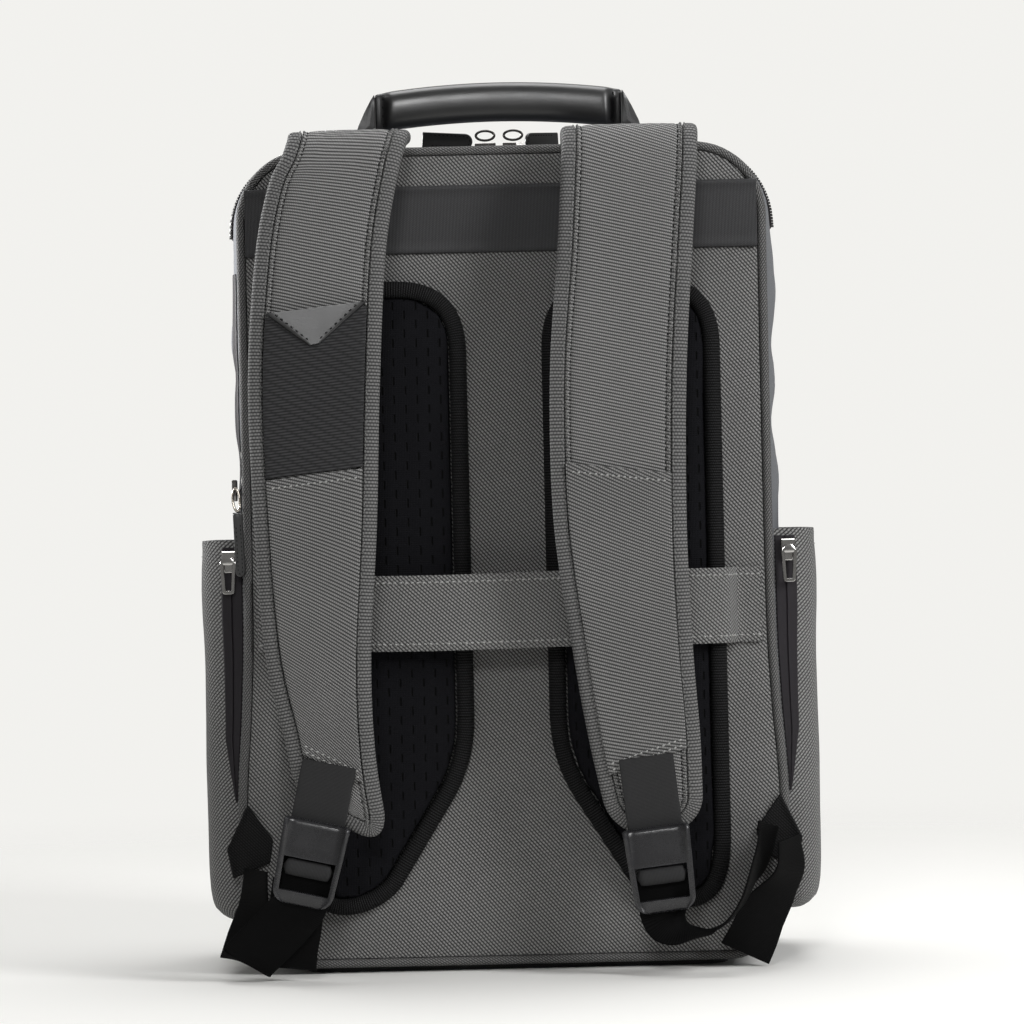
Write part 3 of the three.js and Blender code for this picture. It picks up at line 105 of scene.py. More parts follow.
# Pads and luggage strap
PAD_INNER = 21
PAD_OUTER = 121
PAD_TOP = 387
PAD_BOTTOM = 33
PAD_CORNER = 40
PAD_SLANT_TOP = 129
PAD_THICK = 12
PAD_BINDING = 9.5
PAD_BINDING_THICK = 9
LUGGAGE_LOW = 181
LUGGAGE_HIGH = 223
LUGGAGE_REACH = 141
LUGGAGE_SEAM = 127
LUGGAGE_SLACK = 12
LUGGAGE_HEM = 0.1
PAD_VOXEL = 4.0
PAD_SWELL = 1.6
SWELL_STEPS = 20

# Shoulder straps
STRAP_PADDING = 9
STRAP_FACE_WIDTH = 58
STRAP_BINDING = 8
STRAP_TIP = 78
STRAP_CREST_HIGH = 466
STRAP_STAND = 45
STRAP_TIP_ROUND = 20
STRAP_LEAN = 15
STRAP_COVER = 1.2
STRAP_ROOT = BACK - 2 * CLEAR - 2 - STRAP_PADDING / 2
STRAP_FACE = STRAP_PADDING / 2 + CLEAR
LEATHER = 1.6
STRAP_SLANTS = {"left": (2.8, -8.5), "right": (3.4, -7)}
COVER_HEM = 279
COVER_FOOT = 119
STRAP_POCKET_HIGH = 368
STRAP_POCKET_LOW = 280.2
LEATHER_TAB_HIGH = 370
LEATHER_TAB_TALL = 20
LEATHER_TAB_NARROW = 0.45
STRAP_ROWS = {
    "left": (
        (0.894, 0, 0.43, 0.79, 0), (0.955, 0.01, 0.41, 0.79, -0.1), (0.99, 0.12, 0.37, 0.79, -0.25),
        (1, 0.3, 0.33, 0.79, -0.3), (0.98, 0.48, 0.345, 0.81, -0.25), (0.933, 0.62, 0.381, 0.86, -0.1),
        (0.83, 0.78, 0.428, 0.911, 0), (0.65, 0.92, 0.458, 0.946, 0), (0.443, 1, 0.481, 0.932, 0),
        (0.263, 0.97, 0.513, 0.902, 0), (0.13, 0.86, 0.505, 0.84, 0.4), (0.02, 0.73, 0.455, 0.8, 1),
    ),
    "right": (
        (0.894, 0, 0.23, 0.73, 0), (0.955, 0.01, 0.23, 0.735, -0.1), (0.99, 0.12, 0.23, 0.74, -0.25),
        (1, 0.3, 0.229, 0.741, -0.3), (0.98, 0.48, 0.233, 0.737, -0.25), (0.933, 0.62, 0.226, 0.729, -0.1),
        (0.83, 0.78, 0.207, 0.707, 0), (0.65, 0.92, 0.168, 0.673, 0), (0.443, 1, 0.17, 0.66, 0),
        (0.263, 0.97, 0.229, 0.673, 0), (0.13, 0.86, 0.285, 0.695, 0), (0, 0.72, 0.36, 0.7, 0.1),
    ),
}

# Webbing and buckles
WEBBING_WIDTH = 30
WEBBING = 1.6
WEBBING_HEM = 0.12
STRAP_WEBBING_TOP = 122
BUCKLE_WIDTH = 37
BUCKLE_FOOT = 33
BUCKLE_HEIGHT = 47
BUCKLE_THICK = 7
BUCKLES = {"left": (0.88, 0.245, 12.7), "right": (0.52, 0.404, -6.4)}
WING_TOP = 96
WING_LOW = 55
WING_REACH = 26
WING_CLOTH = 2.4
WEBBING_RUNS = {
    "adjuster_webbing_left": (
        (-0.22, 0.027, 1.6, 0, -13), (0, 0.03, 1.05, 0, -13), (0.25, 0.12, 0.84, 0, -20),
        (0.6, 0.2, 0.62, 0, -28), (1.08, 0.3, 0.34, 0, -28), (1.2, 0.42, 0.25, 6, -27),
        (1.2, 0.56, 0.3, 15, -24), (1.15, 0.76, 0.58, 36, -18), (1.06, 0.96, 0.98, 56, -8),
        (1, 1, 1.4, 62, 0),
    ),
    "adjuster_webbing_right": (
        (-0.036, 0.027, 1.55, 0, 6), (0, 0.033, 1.05, 0, 6), (0.04, 0.12, 0.88, 10, 3),
        (0.14, 0.28, 0.74, 38, 0), (0.28, 0.4, 0.68, 62, 0), (0.42, 0.46, 0.69, 76, 0),
        (0.56, 0.46, 0.84, 80, 0), (0.69, 0.5, 1.15, 80, 0), (0.81, 0.7, 1.6, 76, 0),
        (0.91, 0.96, 1.95, 68, 0), (0.95, 1, 2.25, 64, 0),
    ),
    "webbing_tail_left": (
        (0.02, 0.09, 1.3, 0, -13), (0.08, 0.14, 1.08, 0, -12), (0.17, 0.26, 0.7, 0, -10),
        (0.27, 0.35, 0.4, 0, -11), (0.31, 0.4, 0.17, 0, -12),
    ),
    "webbing_tail_right": (
        (1.13, 1, 2.02, 64, 0), (1.14, 0.99, 1.55, 54, 0), (1.01, 0.98, 1.15, 34, 0),
        (0.88, 0.93, 0.8, 24, -6), (0.79, 0.9, 0.46, 16, -14), (0.72, 0.88, 0.22, 8, -17),
    ),
}

# Side pockets
POCKET_LOW = 29
POCKET_HIGH = 244
POCKET_OUT = 27
POCKET_LENGTH = 122
POCKET_REAR = -65
POCKET_TAPE_END = 97
POCKET_TAPE_TOP = 240
POCKET_LEVELS = (
    (0, 0.35, 0.16, 0.16), (0.02, 0.55, 0.07, 0.08), (0.08, 0.72, 0.01, 0.02),
    (0.35, 0.77, 0, 0), (0.8, 0.97, 0, 0), (1, 0.93, 0, 0.01),
)
POCKET_SECTION = (
    (0, 0), (0.02, 0.5), (0.1, 0.92), (0.3, 1.02), (0.7, 1.02), (0.93, 0.85), (1, 0),
)

# Handle
GRIP_LENGTH = 139
GRIP_HEIGHT = 22
GRIP_THICK = 16
GRIP_MIDDLE = HIGH + 26.5
GRIP_ARCH = 5
GRIP_LINE = -48
HANDLE_TAB_WIDTH = 22

# The studio
LENS = 144.5
CAMERA_AWAY = 2300
CAMERA_ACROSS = 2.6
CAMERA_HEIGHT = 256.5
PHOTO_TURN = 0.0227
AMBIENT = 0.24
FLOOR_REACH = 3.0
BACKDROP = (0.888, 0.882, 0.856, 1)
# Each light's name, place, target, size, power and spread
LIGHTS = (
    ("key", (1.1, -0.9, 0.95), (0.1, 0, 0.34), (0.35, 0.8), 15, 180),
    ("rim_left", (-1.1, 0.25, 0.55), (-0.15, 0.02, 0.42), (0.2, 0.25), 0.8, 24),
    ("front", (-0.3, -3.1, 1.6), (0.02, 0, 0.42), (0.6, 0.5), 4.4, 70),
    ("overhead", (0, 0.45, 2.2), (0, 0.1, 0), (1.8, 1.4), 36, 180),
)


# Shapes

def lerp(a, b, share):
    """A value between two others."""
    return a + (b - a) * share


def unit(v):
    return v / np.maximum(np.linalg.norm(v, axis=-1, keepdims=True), 1e-9)


def eased(share):
    """A share from 0 to 1 that starts and ends gently."""
    share = np.clip(share, 0, 1)
    return share * share * (3 - 2 * share)


def smooth_rows(table, steps):
    """Rows of a table with smooth rows added between them."""
    rows = np.asarray(table, float)
    out = []
    for i in range(len(rows) - 1):
        a, b, c, d = rows[max(i - 1, 0)], rows[i], rows[i + 1], rows[min(i + 2, len(rows) - 1)]
        for k in range(steps):
            t = k / steps
            t2, t3 = t * t, t * t * t
            out.append(
                (2 * t3 - 3 * t2 + 1) * b + (t3 - 2 * t2 + t) * (c - a) / 2
                + (3 * t2 - 2 * t3) * c + (t3 - t2) * (d - b) / 2
            )
    out.append(rows[-1])
    return np.array(out)


def lengths(points):
    """How far along a line of points each one lies."""
    steps = np.linalg.norm(np.diff(points, axis=0), axis=1)
    return np.concatenate([[0], np.cumsum(steps)])


def resampled(points, count):
    """As many points, evenly spaced along a line."""
    along = lengths(points)
    at = np.linspace(0, along[-1], count)
    return np.stack([np.interp(at, along, points[:, k]) for k in range(points.shape[1])], axis=1)


class Shape:
    """Corners, faces and the place of each face's corners on its cloth, in millimetres."""

    def __init__(self):
        self.points = []
        self.faces = []
        self.cloth = []
        self.count = 0

    def add(self, points, faces, cloth):
        self.points.append(np.asarray(points, float).reshape(-1, 3))
        self.faces.extend([[i + self.count for i in face] for face in faces])
        self.cloth.extend(cloth)
        self.count += len(self.points[-1])
        return self

    def skin(self, rings, along, around, joined=False):
        """A closed skin through rings of as many corners each, capped unless the last joins the first."""
        rings = np.asarray(rings, float)
        rows, corners = rings.shape[:2]
        along = np.broadcast_to(np.asarray(along, float), (rows + joined,))
        around = np.asarray(around, float)
        faces, cloth = [], []
        for i in range(rows if joined else rows - 1):
            here, there = i * corners, (i + 1) % rows * corners
            for k in range(corners):
                following = (k + 1) % corners
                faces.append((here + k, here + following, there + following, there + k))
                cloth.extend([
                    (along[i], around[k]), (along[i], around[k + 1]),
                    (along[i + 1], around[k + 1]), (along[i + 1], around[k]),
                ])
        if not joined:
            for start, u in ((0, along[0]), ((rows - 1) * corners, along[-1])):
                for k in range(corners // 2 - 1):
                    quad = (k, k + 1, corners - 2 - k, corners - 1 - k)
                    quad = tuple(dict.fromkeys(quad))
                    if len(quad) > 2:
                        faces.append(tuple(start + q for q in quad))
                        cloth.extend((u, around[q]) for q in quad)
        return self.add(rings, faces, cloth)

    def slab(self, top, under, along, across):
        """A thick sheet between two grids of points of the same size."""
        rings = np.concatenate([top, under[:, ::-1]], axis=1)
        across = np.asarray(across, float)
        return self.skin(rings, along, np.concatenate([across, across[::-1], across[:1]]))


def piece(name, shape, finish, nodes=(), sharp=35):
    """Makes a piece from a shape, gives it its finish and puts it on the bag."""
    mesh = bpy.data.meshes.new(name)
    points = np.concatenate(shape.points) * MM
    mesh.from_pydata(points.tolist(), [], shape.faces)
    layer = mesh.uv_layers.new(name="cloth")
    layer.data.foreach_set("uv", (np.asarray(shape.cloth, np.float32) * MM).ravel())
    work = bmesh.new()
    work.from_mesh(mesh)
    bmesh.ops.recalc_face_normals(work, faces=work.faces)
    work.to_mesh(mesh)
    work.free()
    mesh.polygons.foreach_set("use_smooth", [True] * len(mesh.polygons))
    mesh.set_sharp_from_angle(angle=math.radians(sharp))
    made = bpy.data.objects.new(name, mesh)
    bpy.context.scene.collection.objects.link(made)
    mesh.materials.append(finishes()[finish])
    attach(made, "root")
    if nodes:
        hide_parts(*nodes)
    return made


def around_section(section):
    """How far round a closed section each corner lies, with the first again at the end."""
    section = np.asarray(section, float)
    return lengths(np.concatenate([section, section[:1]]))


def stitches(shape, path, out, long, gap, wide, slant=0.0):
    """Adds stitches along a path: short rounded threads, lying on the side that out points to."""
    along = lengths(path)
    count = max(1, int((along[-1] - gap) / (long + gap)))
    middles = (np.arange(count) + 0.5) * along[-1] / count
    out = np.broadcast_to(np.asarray(out, float), path.shape)

    def at(table, place):
        return np.stack([np.interp(place, along, table[:, k]) for k in range(3)], axis=1)

    centre = at(path, middles)
    ahead = unit(at(path, middles + 0.5) - at(path, middles - 0.5))
    up = unit(at(out, middles))
    side = np.cross(up, ahead)
    lean = math.radians(slant)
    run = unit(ahead * math.cos(lean) + side * math.sin(lean))
    side = np.cross(up, run)
    profile = ((-0.5, 0.35, -0.5), (-0.3, 1, 0.1), (0, 1, 0.35), (0.3, 1, 0.1), (0.5, 0.35, -0.5))
    corners = ((1, 0), (0, 1), (-1, 0), (0, -1))
    for c, r, s, u in zip(centre, run, side, up):
        rings = [
            [c + r * place * long + (s * a + u * b) * wide / 2 * thick + u * wide * lift for a, b in corners]
            for place, thick, lift in profile
        ]
        shape.skin(rings, 0, np.zeros(len(corners) + 1))


# The bag's outline

def flare(z):
    """How much wider the bag is at a height than at its middle."""
    table = smooth_rows(FLARE, 8)
    return np.interp(z / HIGH, table[:, 0], table[:, 1])


def bag_outline(side=84, corner=14, flat=40):
    """The outline seen from behind: x, z and the direction that points out, at each corner."""
    rows = []

    def run(a, b, steps, out):
        for k in range(steps):
            rows.append((lerp(a[0], b[0], k / steps), lerp(a[1], b[1], k / steps), *out))

    def turn(x, z, radius, start):
        for k in range(corner):
            angle = math.radians(start + 90 * k / corner)
            out = (math.cos(angle), math.sin(angle))
            rows.append((x + radius * out[0], z + radius * out[1], *out))

    low_x, low_z = HALF - BOTTOM_CORNER, FLOOR + BOTTOM_CORNER
    high_x, high_z = HALF - TOP_CORNER, HIGH - TOP_CORNER
    run((-low_x, FLOOR), (low_x, FLOOR), flat, (0, -1))
    turn(low_x, low_z, BOTTOM_CORNER, -90)
    run((HALF, low_z), (HALF, high_z), side, (1, 0))
    turn(high_x, high_z, TOP_CORNER, 0)
    run((high_x, HIGH), (-high_x, HIGH), flat, (0, 1))
    turn(-high_x, high_z, TOP_CORNER, 90)
    run((-HALF, high_z), (-HALF, low_z), side, (-1, 0))
    turn(-low_x, low_z, BOTTOM_CORNER, 180)
    table = np.array(rows)
    table[:, 0] *= flare(table[:, 1])
    return table


OUTLINE = bag_outline()


def outline_along(table):
    """How far round the outline each corner lies, with the first again at the end."""
    return lengths(np.concatenate([table[:, :2], table[:1, :2]]))


def fold_at(z, side):
    """How far a side swells out at a height, as a share of its fullest."""
    table = smooth_rows(np.stack([FOLD_HEIGHTS, SIDE_FOLDS[side]], axis=1), 6)
    return np.interp(z / HIGH, table[:, 0], table[:, 1])


def gusset_points(table, y, off=0.0, crease=0.0):
    """Points of the gusset's outer face at one depth, with shallow creases between its folds."""
    x, z, nx, nz = table.T
    share = np.clip((y - GUSSET_BACK) / (GUSSET_FRONT - GUSSET_BACK), 0, 1)
    swell = math.sin(math.pi * share) ** 0.8
    fold = np.where(nx < 0, fold_at(z, "left"), fold_at(z, "right"))
    middle = eased((y + 46) / 20) * eased((GUSSET_FRONT - y) / 18)
    body = eased((z - 20) / 40) * eased((418 - z) / 30)
    wave = np.sin(z / 9.5 + y / 17 + nx) + 0.6 * np.sin(z / 5.3 - y / 11 + 2 * nx)
    dent = -crease * middle * body * np.abs(nx) * (0.5 + 0.31 * wave)
    out = swell * (SIDE_BULGE * fold * np.abs(nx) + TOP_CROWN * np.maximum(nz, 0)) + off + dent
    return np.stack([x + nx * out, np.full_like(x, y), z + nz * out], axis=1)


# Finishes

class Wires:
    """Adds and joins nodes of one tree."""

    def __init__(self, tree):
        self.tree = tree

    def node(self, kind, inputs=(), **settings):
        made = self.tree.nodes.new(kind)
        for name, value in settings.items():
            setattr(made, name, value)
        for place, value in dict(inputs).items():
            self.put(made.inputs[place], value)
        return made

    def put(self, socket, value):
        if isinstance(value, bpy.types.NodeSocket):
            self.tree.links.new(value, socket)
        else:
            socket.default_value = value

    def math(self, operation, *values, clamp=False):
        made = self.tree.nodes.new("ShaderNodeMath")
        made.operation = operation
        made.use_clamp = clamp
        for socket, value in zip(made.inputs, values):
            self.put(socket, value)
        return made.outputs[0]

    def ridge(self, place, power=2.0):
        """1 at the middle of each whole step, and 0 between them."""
        centred = self.math("SUBTRACT", self.math("FRACT", place), 0.5)
        far = self.math("POWER", self.math("MULTIPLY", self.math("ABSOLUTE", centred), 2.0), power)
        return self.math("SUBTRACT", 1.0, far)

    def mix(self, share, first, second):
        made = self.tree.nodes.new("ShaderNodeMix")
        made.data_type = "RGBA"
        self.put(made.inputs["Factor"], share)
        self.put(made.inputs[6], first)
        self.put(made.inputs[7], second)
        return made.outputs[2]


def effect(name, inputs, outputs):
    """A new shader node group with its sockets, its wires and its input and output nodes."""
    tree = bpy.data.node_groups.new(name, "ShaderNodeTree")
    for label, kind, value in inputs:
        socket = tree.interface.new_socket(name=label, in_out="INPUT", socket_type=kind)
        if value is not None:
            socket.default_value = value
    for label in outputs:
        tree.interface.new_socket(name=label, in_out="OUTPUT", socket_type="NodeSocketFloat")
    wires = Wires(tree)
    given = tree.nodes.new("NodeGroupInput").outputs
    result = tree.nodes.new("NodeGroupOutput").inputs
    return wires, given, result


def weave_effect():
    """Threads in slanted rows: twill, ribs and tape, from the pitch and slant of the rows."""
    wires, given, result = effect(
        "Woven threads",
        (
            ("Place", "NodeSocketVector", None), ("Pitch", "NodeSocketFloat", 1.6),
            ("Slant", "NodeSocketFloat", 0.8), ("Thread Length", "NodeSocketFloat", 1.6),
            ("Stagger", "NodeSocketFloat", 0.4),
        ),
        ("Thread", "Height"),
    )
    parts = wires.node("ShaderNodeSeparateXYZ", {0: given["Place"]}).outputs
    pitch = wires.math("MULTIPLY", given["Pitch"], MM)
    c, s = wires.math("COSINE", given["Slant"]), wires.math("SINE", given["Slant"])
    across = wires.math("DIVIDE", wires.math(
        "ADD", wires.math("MULTIPLY", parts[0], c), wires.math("MULTIPLY", parts[1], s)), pitch)
    down = wires.math("DIVIDE", wires.math(
        "SUBTRACT", wires.math("MULTIPLY", parts[1], c), wires.math("MULTIPLY", parts[0], s)),
        wires.math("MULTIPLY", pitch, given["Thread Length"]))
    row = wires.math("MULTIPLY", wires.math("FLOOR", across), given["Stagger"])
    thread = wires.ridge(wires.math("ADD", down, row), 3.0)
    height = wires.math("MULTIPLY", wires.ridge(across), wires.math("MULTIPLY_ADD", thread, 0.5, 0.5))
    # Thread masks where a cloth finish paints light on the threads' tops, with painted shade between them
    wires.put(result["Thread"], wires.math("POWER", wires.math("MAXIMUM", height, 0.0), 1.7))
    wires.put(result["Height"], height)
    return wires.tree


def tone_effect():
    """Slow changes of tone, and fine flecks, as worn cloth and leather have."""
    wires, given, result = effect(
        "Uneven tone",
        (
            ("Patches", "NodeSocketFloat", 18.0), ("Flecks", "NodeSocketFloat", 900.0),
            ("Patch Depth", "NodeSocketFloat", 0.25), ("Fleck Depth", "NodeSocketFloat", 0.25),
        ),
        ("Tone", "Fleck"),
    )
    place = wires.node("ShaderNodeTexCoord").outputs["Object"]
    patch = wires.node("ShaderNodeTexNoise", {
        "Vector": place, "Scale": given["Patches"], "Detail": 3.0, "Roughness": 0.55}).outputs["Fac"]
    fleck = wires.node("ShaderNodeTexNoise", {
        "Vector": place, "Scale": given["Flecks"], "Detail": 1.0}).outputs["Fac"]
    slow = wires.math("MULTIPLY", wires.math("SUBTRACT", patch, 0.5), given["Patch Depth"])
    quick = wires.math("MULTIPLY", wires.math("SUBTRACT", fleck, 0.5), given["Fleck Depth"])
    total = wires.math(
        "ADD", wires.math("MULTIPLY_ADD", slow, 2.0, 0.5), wires.math("MULTIPLY", quick, 2.0), clamp=True)
    wires.put(result["Tone"], total)
    wires.put(result["Fleck"], fleck)
    return wires.tree


def grain_effect():
    """Leather grain: rounded pebbles with creases between them."""
    wires, given, result = effect(
        "Leather grain", (("Grain", "NodeSocketFloat", 900.0), ("Crease", "NodeSocketFloat", 60.0)),
        ("Height", "Crease"),
    )
    place = wires.node("ShaderNodeTexCoord").outputs["Object"]
    pebble = wires.node("ShaderNodeTexVoronoi", {"Vector": place, "Scale": given["Grain"]},
                        feature="SMOOTH_F1").outputs["Distance"]
    crease = wires.node("ShaderNodeTexNoise", {
        "Vector": place, "Scale": given["Crease"], "Detail": 4.0}).outputs["Fac"]
    height = wires.math("MULTIPLY_ADD", crease, 0.8, wires.math("MULTIPLY", pebble, -0.35))
    wires.put(result["Height"], height)
    wires.put(result["Crease"], crease)
    return wires.tree


def wear_effect():
    """Edges that handling has rubbed lighter."""
    wires, given, result = effect(
        "Worn edge", (("Reach", "NodeSocketFloat", 6.0), ("Breakup", "NodeSocketFloat", 240.0)), ("Wear",),
    )
    place = wires.node("ShaderNodeTexCoord").outputs["Object"]
    point = wires.node("ShaderNodeNewGeometry").outputs["Pointiness"]
    noise = wires.node("ShaderNodeTexNoise", {"Vector": place, "Scale": given["Breakup"]}).outputs["Fac"]
    edge = wires.math("MULTIPLY", wires.math("SUBTRACT", point, 0.52), given["Reach"])
    wires.put(result["Wear"], wires.math("MULTIPLY", edge, noise, clamp=True))
    return wires.tree


def spacer_effect():
    """Air mesh with staggered upright slits."""
    wires, given, result = effect(
        "Slit mesh",
        (("Spacing", "NodeSocketFloat", 6.5), ("Repeat", "NodeSocketFloat", 10.5)), ("Slit", "Height"),
    )
    place = wires.node("ShaderNodeTexCoord").outputs["Object"]
    parts = wires.node("ShaderNodeSeparateXYZ", {0: place}).outputs
    column = wires.math("DIVIDE", parts[0], wires.math("MULTIPLY", given["Spacing"], MM))
    stagger = wires.math("MULTIPLY", wires.math("FLOOR", column), 0.5)
    repeat = wires.math("MULTIPLY", given["Repeat"], MM)
    row = wires.math("ADD", wires.math("DIVIDE", parts[2], repeat), stagger)
    narrow = wires.math("MULTIPLY", wires.math("SUBTRACT", wires.ridge(column, 1.0), 0.8), 6.0, clamp=True)
    short = wires.math("MULTIPLY", wires.math("SUBTRACT", wires.ridge(row, 1.0), 0.5), 8.0, clamp=True)
    slit = wires.math("MULTIPLY", narrow, short)
    knit_x = wires.ridge(wires.math("DIVIDE", parts[0], 0.9 * MM))
    knit_z = wires.ridge(wires.math("DIVIDE", parts[2], 1.2 * MM))
    knit = wires.math("MULTIPLY", knit_x, knit_z)
    wires.put(result["Slit"], slit)
    wires.put(result["Height"], wires.math("MULTIPLY_ADD", slit, -1.0, wires.math("MULTIPLY", knit, 0.22)))
    return wires.tree


EFFECTS = {}


def shared(maker):
    """An effect's node group, built once."""
    if maker.__name__ not in EFFECTS:
        EFFECTS[maker.__name__] = maker()
    return EFFECTS[maker.__name__]


class Finish(Wires):
    """A material on its way: its shader, and the effects that feed it."""

    def __init__(self, name, **sockets):
        self.material = bpy.data.materials.new(name)
        self.material.use_nodes = True
        super().__init__(self.material.node_tree)
        self.shader = self.tree.nodes["Principled BSDF"]
        for label, value in sockets.items():
            self.put(self.shader.inputs[label.replace("_", " ")], value)

    def effect(self, maker, **inputs):
        group = self.node("ShaderNodeGroup", node_tree=shared(maker))
        for label, value in inputs.items():
            self.put(group.inputs[label.replace("_", " ")], value)
        return group.outputs

    def relief(self, height, depth, strength=1.0):
        bump = self.node("ShaderNodeBump", {"Height": height, "Distance": depth * MM, "Strength": strength})
        self.put(self.shader.inputs["Normal"], bump.outputs[0])

    def colour(self, value):
        self.put(self.shader.inputs["Base Color"], value)


def solid(colour):
    return (*colour[:3], 1.0)


def shade(colour, share):
    return tuple(c * share for c in colour[:3])


def cloth_finish(name, gap, thread, pitch, slant, length, stagger, relief, rough=0.78, sheen=0.0,
                 upright=False, shine=0.25):
    """Woven cloth: threads in painted light over a gap in painted shade, with uneven tone. Upright cloth is
    laid on X and Z.
    """
    finish = Finish(name, Sheen_Weight=sheen, Sheen_Roughness=0.5, Specular_IOR_Level=shine)
    if upright:
        place = finish.node("ShaderNodeTexCoord").outputs["Object"]
        parts = finish.node("ShaderNodeSeparateXYZ", {0: place}).outputs
        place = finish.node("ShaderNodeCombineXYZ", {0: parts[0], 1: parts[2]}).outputs[0]
    else:
        place = finish.node("ShaderNodeUVMap", uv_map="cloth").outputs[0]
    weave = finish.effect(
        weave_effect, Place=place, Pitch=pitch, Slant=math.radians(slant), Thread_Length=length,
        Stagger=stagger)
    tone = finish.effect(tone_effect, Patch_Depth=0.3, Fleck_Depth=0.3)
    # The gap colour is painted shade between the threads; the thread colour, strongest on their tops, is
    # painted light
    low = finish.mix(tone["Tone"], solid(shade(gap, 0.7)), solid(shade(gap, 1.25)))
    high = finish.mix(tone["Tone"], solid(shade(thread, 0.78)), solid(shade(thread, 1.2)))
    finish.colour(finish.mix(weave["Thread"], low, high))
    roughness = finish.math("MULTIPLY_ADD", weave["Thread"], -0.14, rough + 0.07)
    finish.put(finish.shader.inputs["Roughness"], roughness)
    finish.relief(weave["Height"], relief)
    return finish.material


def mesh_finish(name, knit, slit):
    """Knitted air mesh, its slits coloured near black as painted shade."""
    finish = Finish(name, Specular_IOR_Level=0.12)
    air = finish.effect(spacer_effect)
    tone = finish.effect(tone_effect, Patch_Depth=0.3, Fleck_Depth=0.5)
    surface = finish.mix(tone["Tone"], solid(shade(knit, 0.7)), solid(shade(knit, 1.3)))
    # The slit colour is painted shade in the mesh's holes
    finish.colour(finish.mix(air["Slit"], surface, solid(slit)))
    finish.put(finish.shader.inputs["Roughness"], finish.math("MULTIPLY_ADD", air["Slit"], 0.1, 0.85))
    finish.relief(air["Height"], 1.1)
    return finish.material


def leather_finish(name, colour, worn, rough):
    """Smooth leather with a fine grain, soft creases and rubbed edges."""
    finish = Finish(name, Specular_IOR_Level=0.9)
    grain = finish.effect(grain_effect)
    tone = finish.effect(tone_effect, Patches=40.0, Flecks=600.0, Patch_Depth=0.35, Fleck_Depth=0.15)
    wear = finish.effect(wear_effect)
    base = finish.mix(tone["Tone"], solid(shade(colour, 0.75)), solid(shade(colour, 1.3)))
    finish.colour(finish.mix(wear["Wear"], base, solid(worn)))
    roughness = finish.math("MULTIPLY_ADD", grain["Crease"], 0.22, rough - 0.08)
    finish.put(finish.shader.inputs["Roughness"], roughness)
    finish.relief(grain["Height"], 0.05)
    return finish.material


def hard_finish(name, colour, worn, rough, metal=0.0, relief=0.02, reach=6.0):
    """Moulded plastic or metal, with fine scuffs and rubbed edges."""
    finish = Finish(name, Metallic=metal, Specular_IOR_Level=0.5)
    tone = finish.effect(tone_effect, Patches=60.0, Flecks=2500.0, Patch_Depth=0.3, Fleck_Depth=0.25)
    wear = finish.effect(wear_effect, Reach=reach)
    base = finish.mix(tone["Tone"], solid(shade(colour, 0.8)), solid(shade(colour, 1.2)))
    finish.colour(finish.mix(wear["Wear"], base, solid(worn)))
    roughness = finish.math("MULTIPLY_ADD", tone["Tone"], 0.16, rough - 0.08)
    finish.put(finish.shader.inputs["Roughness"], roughness)
    finish.relief(tone["Fleck"], relief)
    return finish.material


MADE = {}


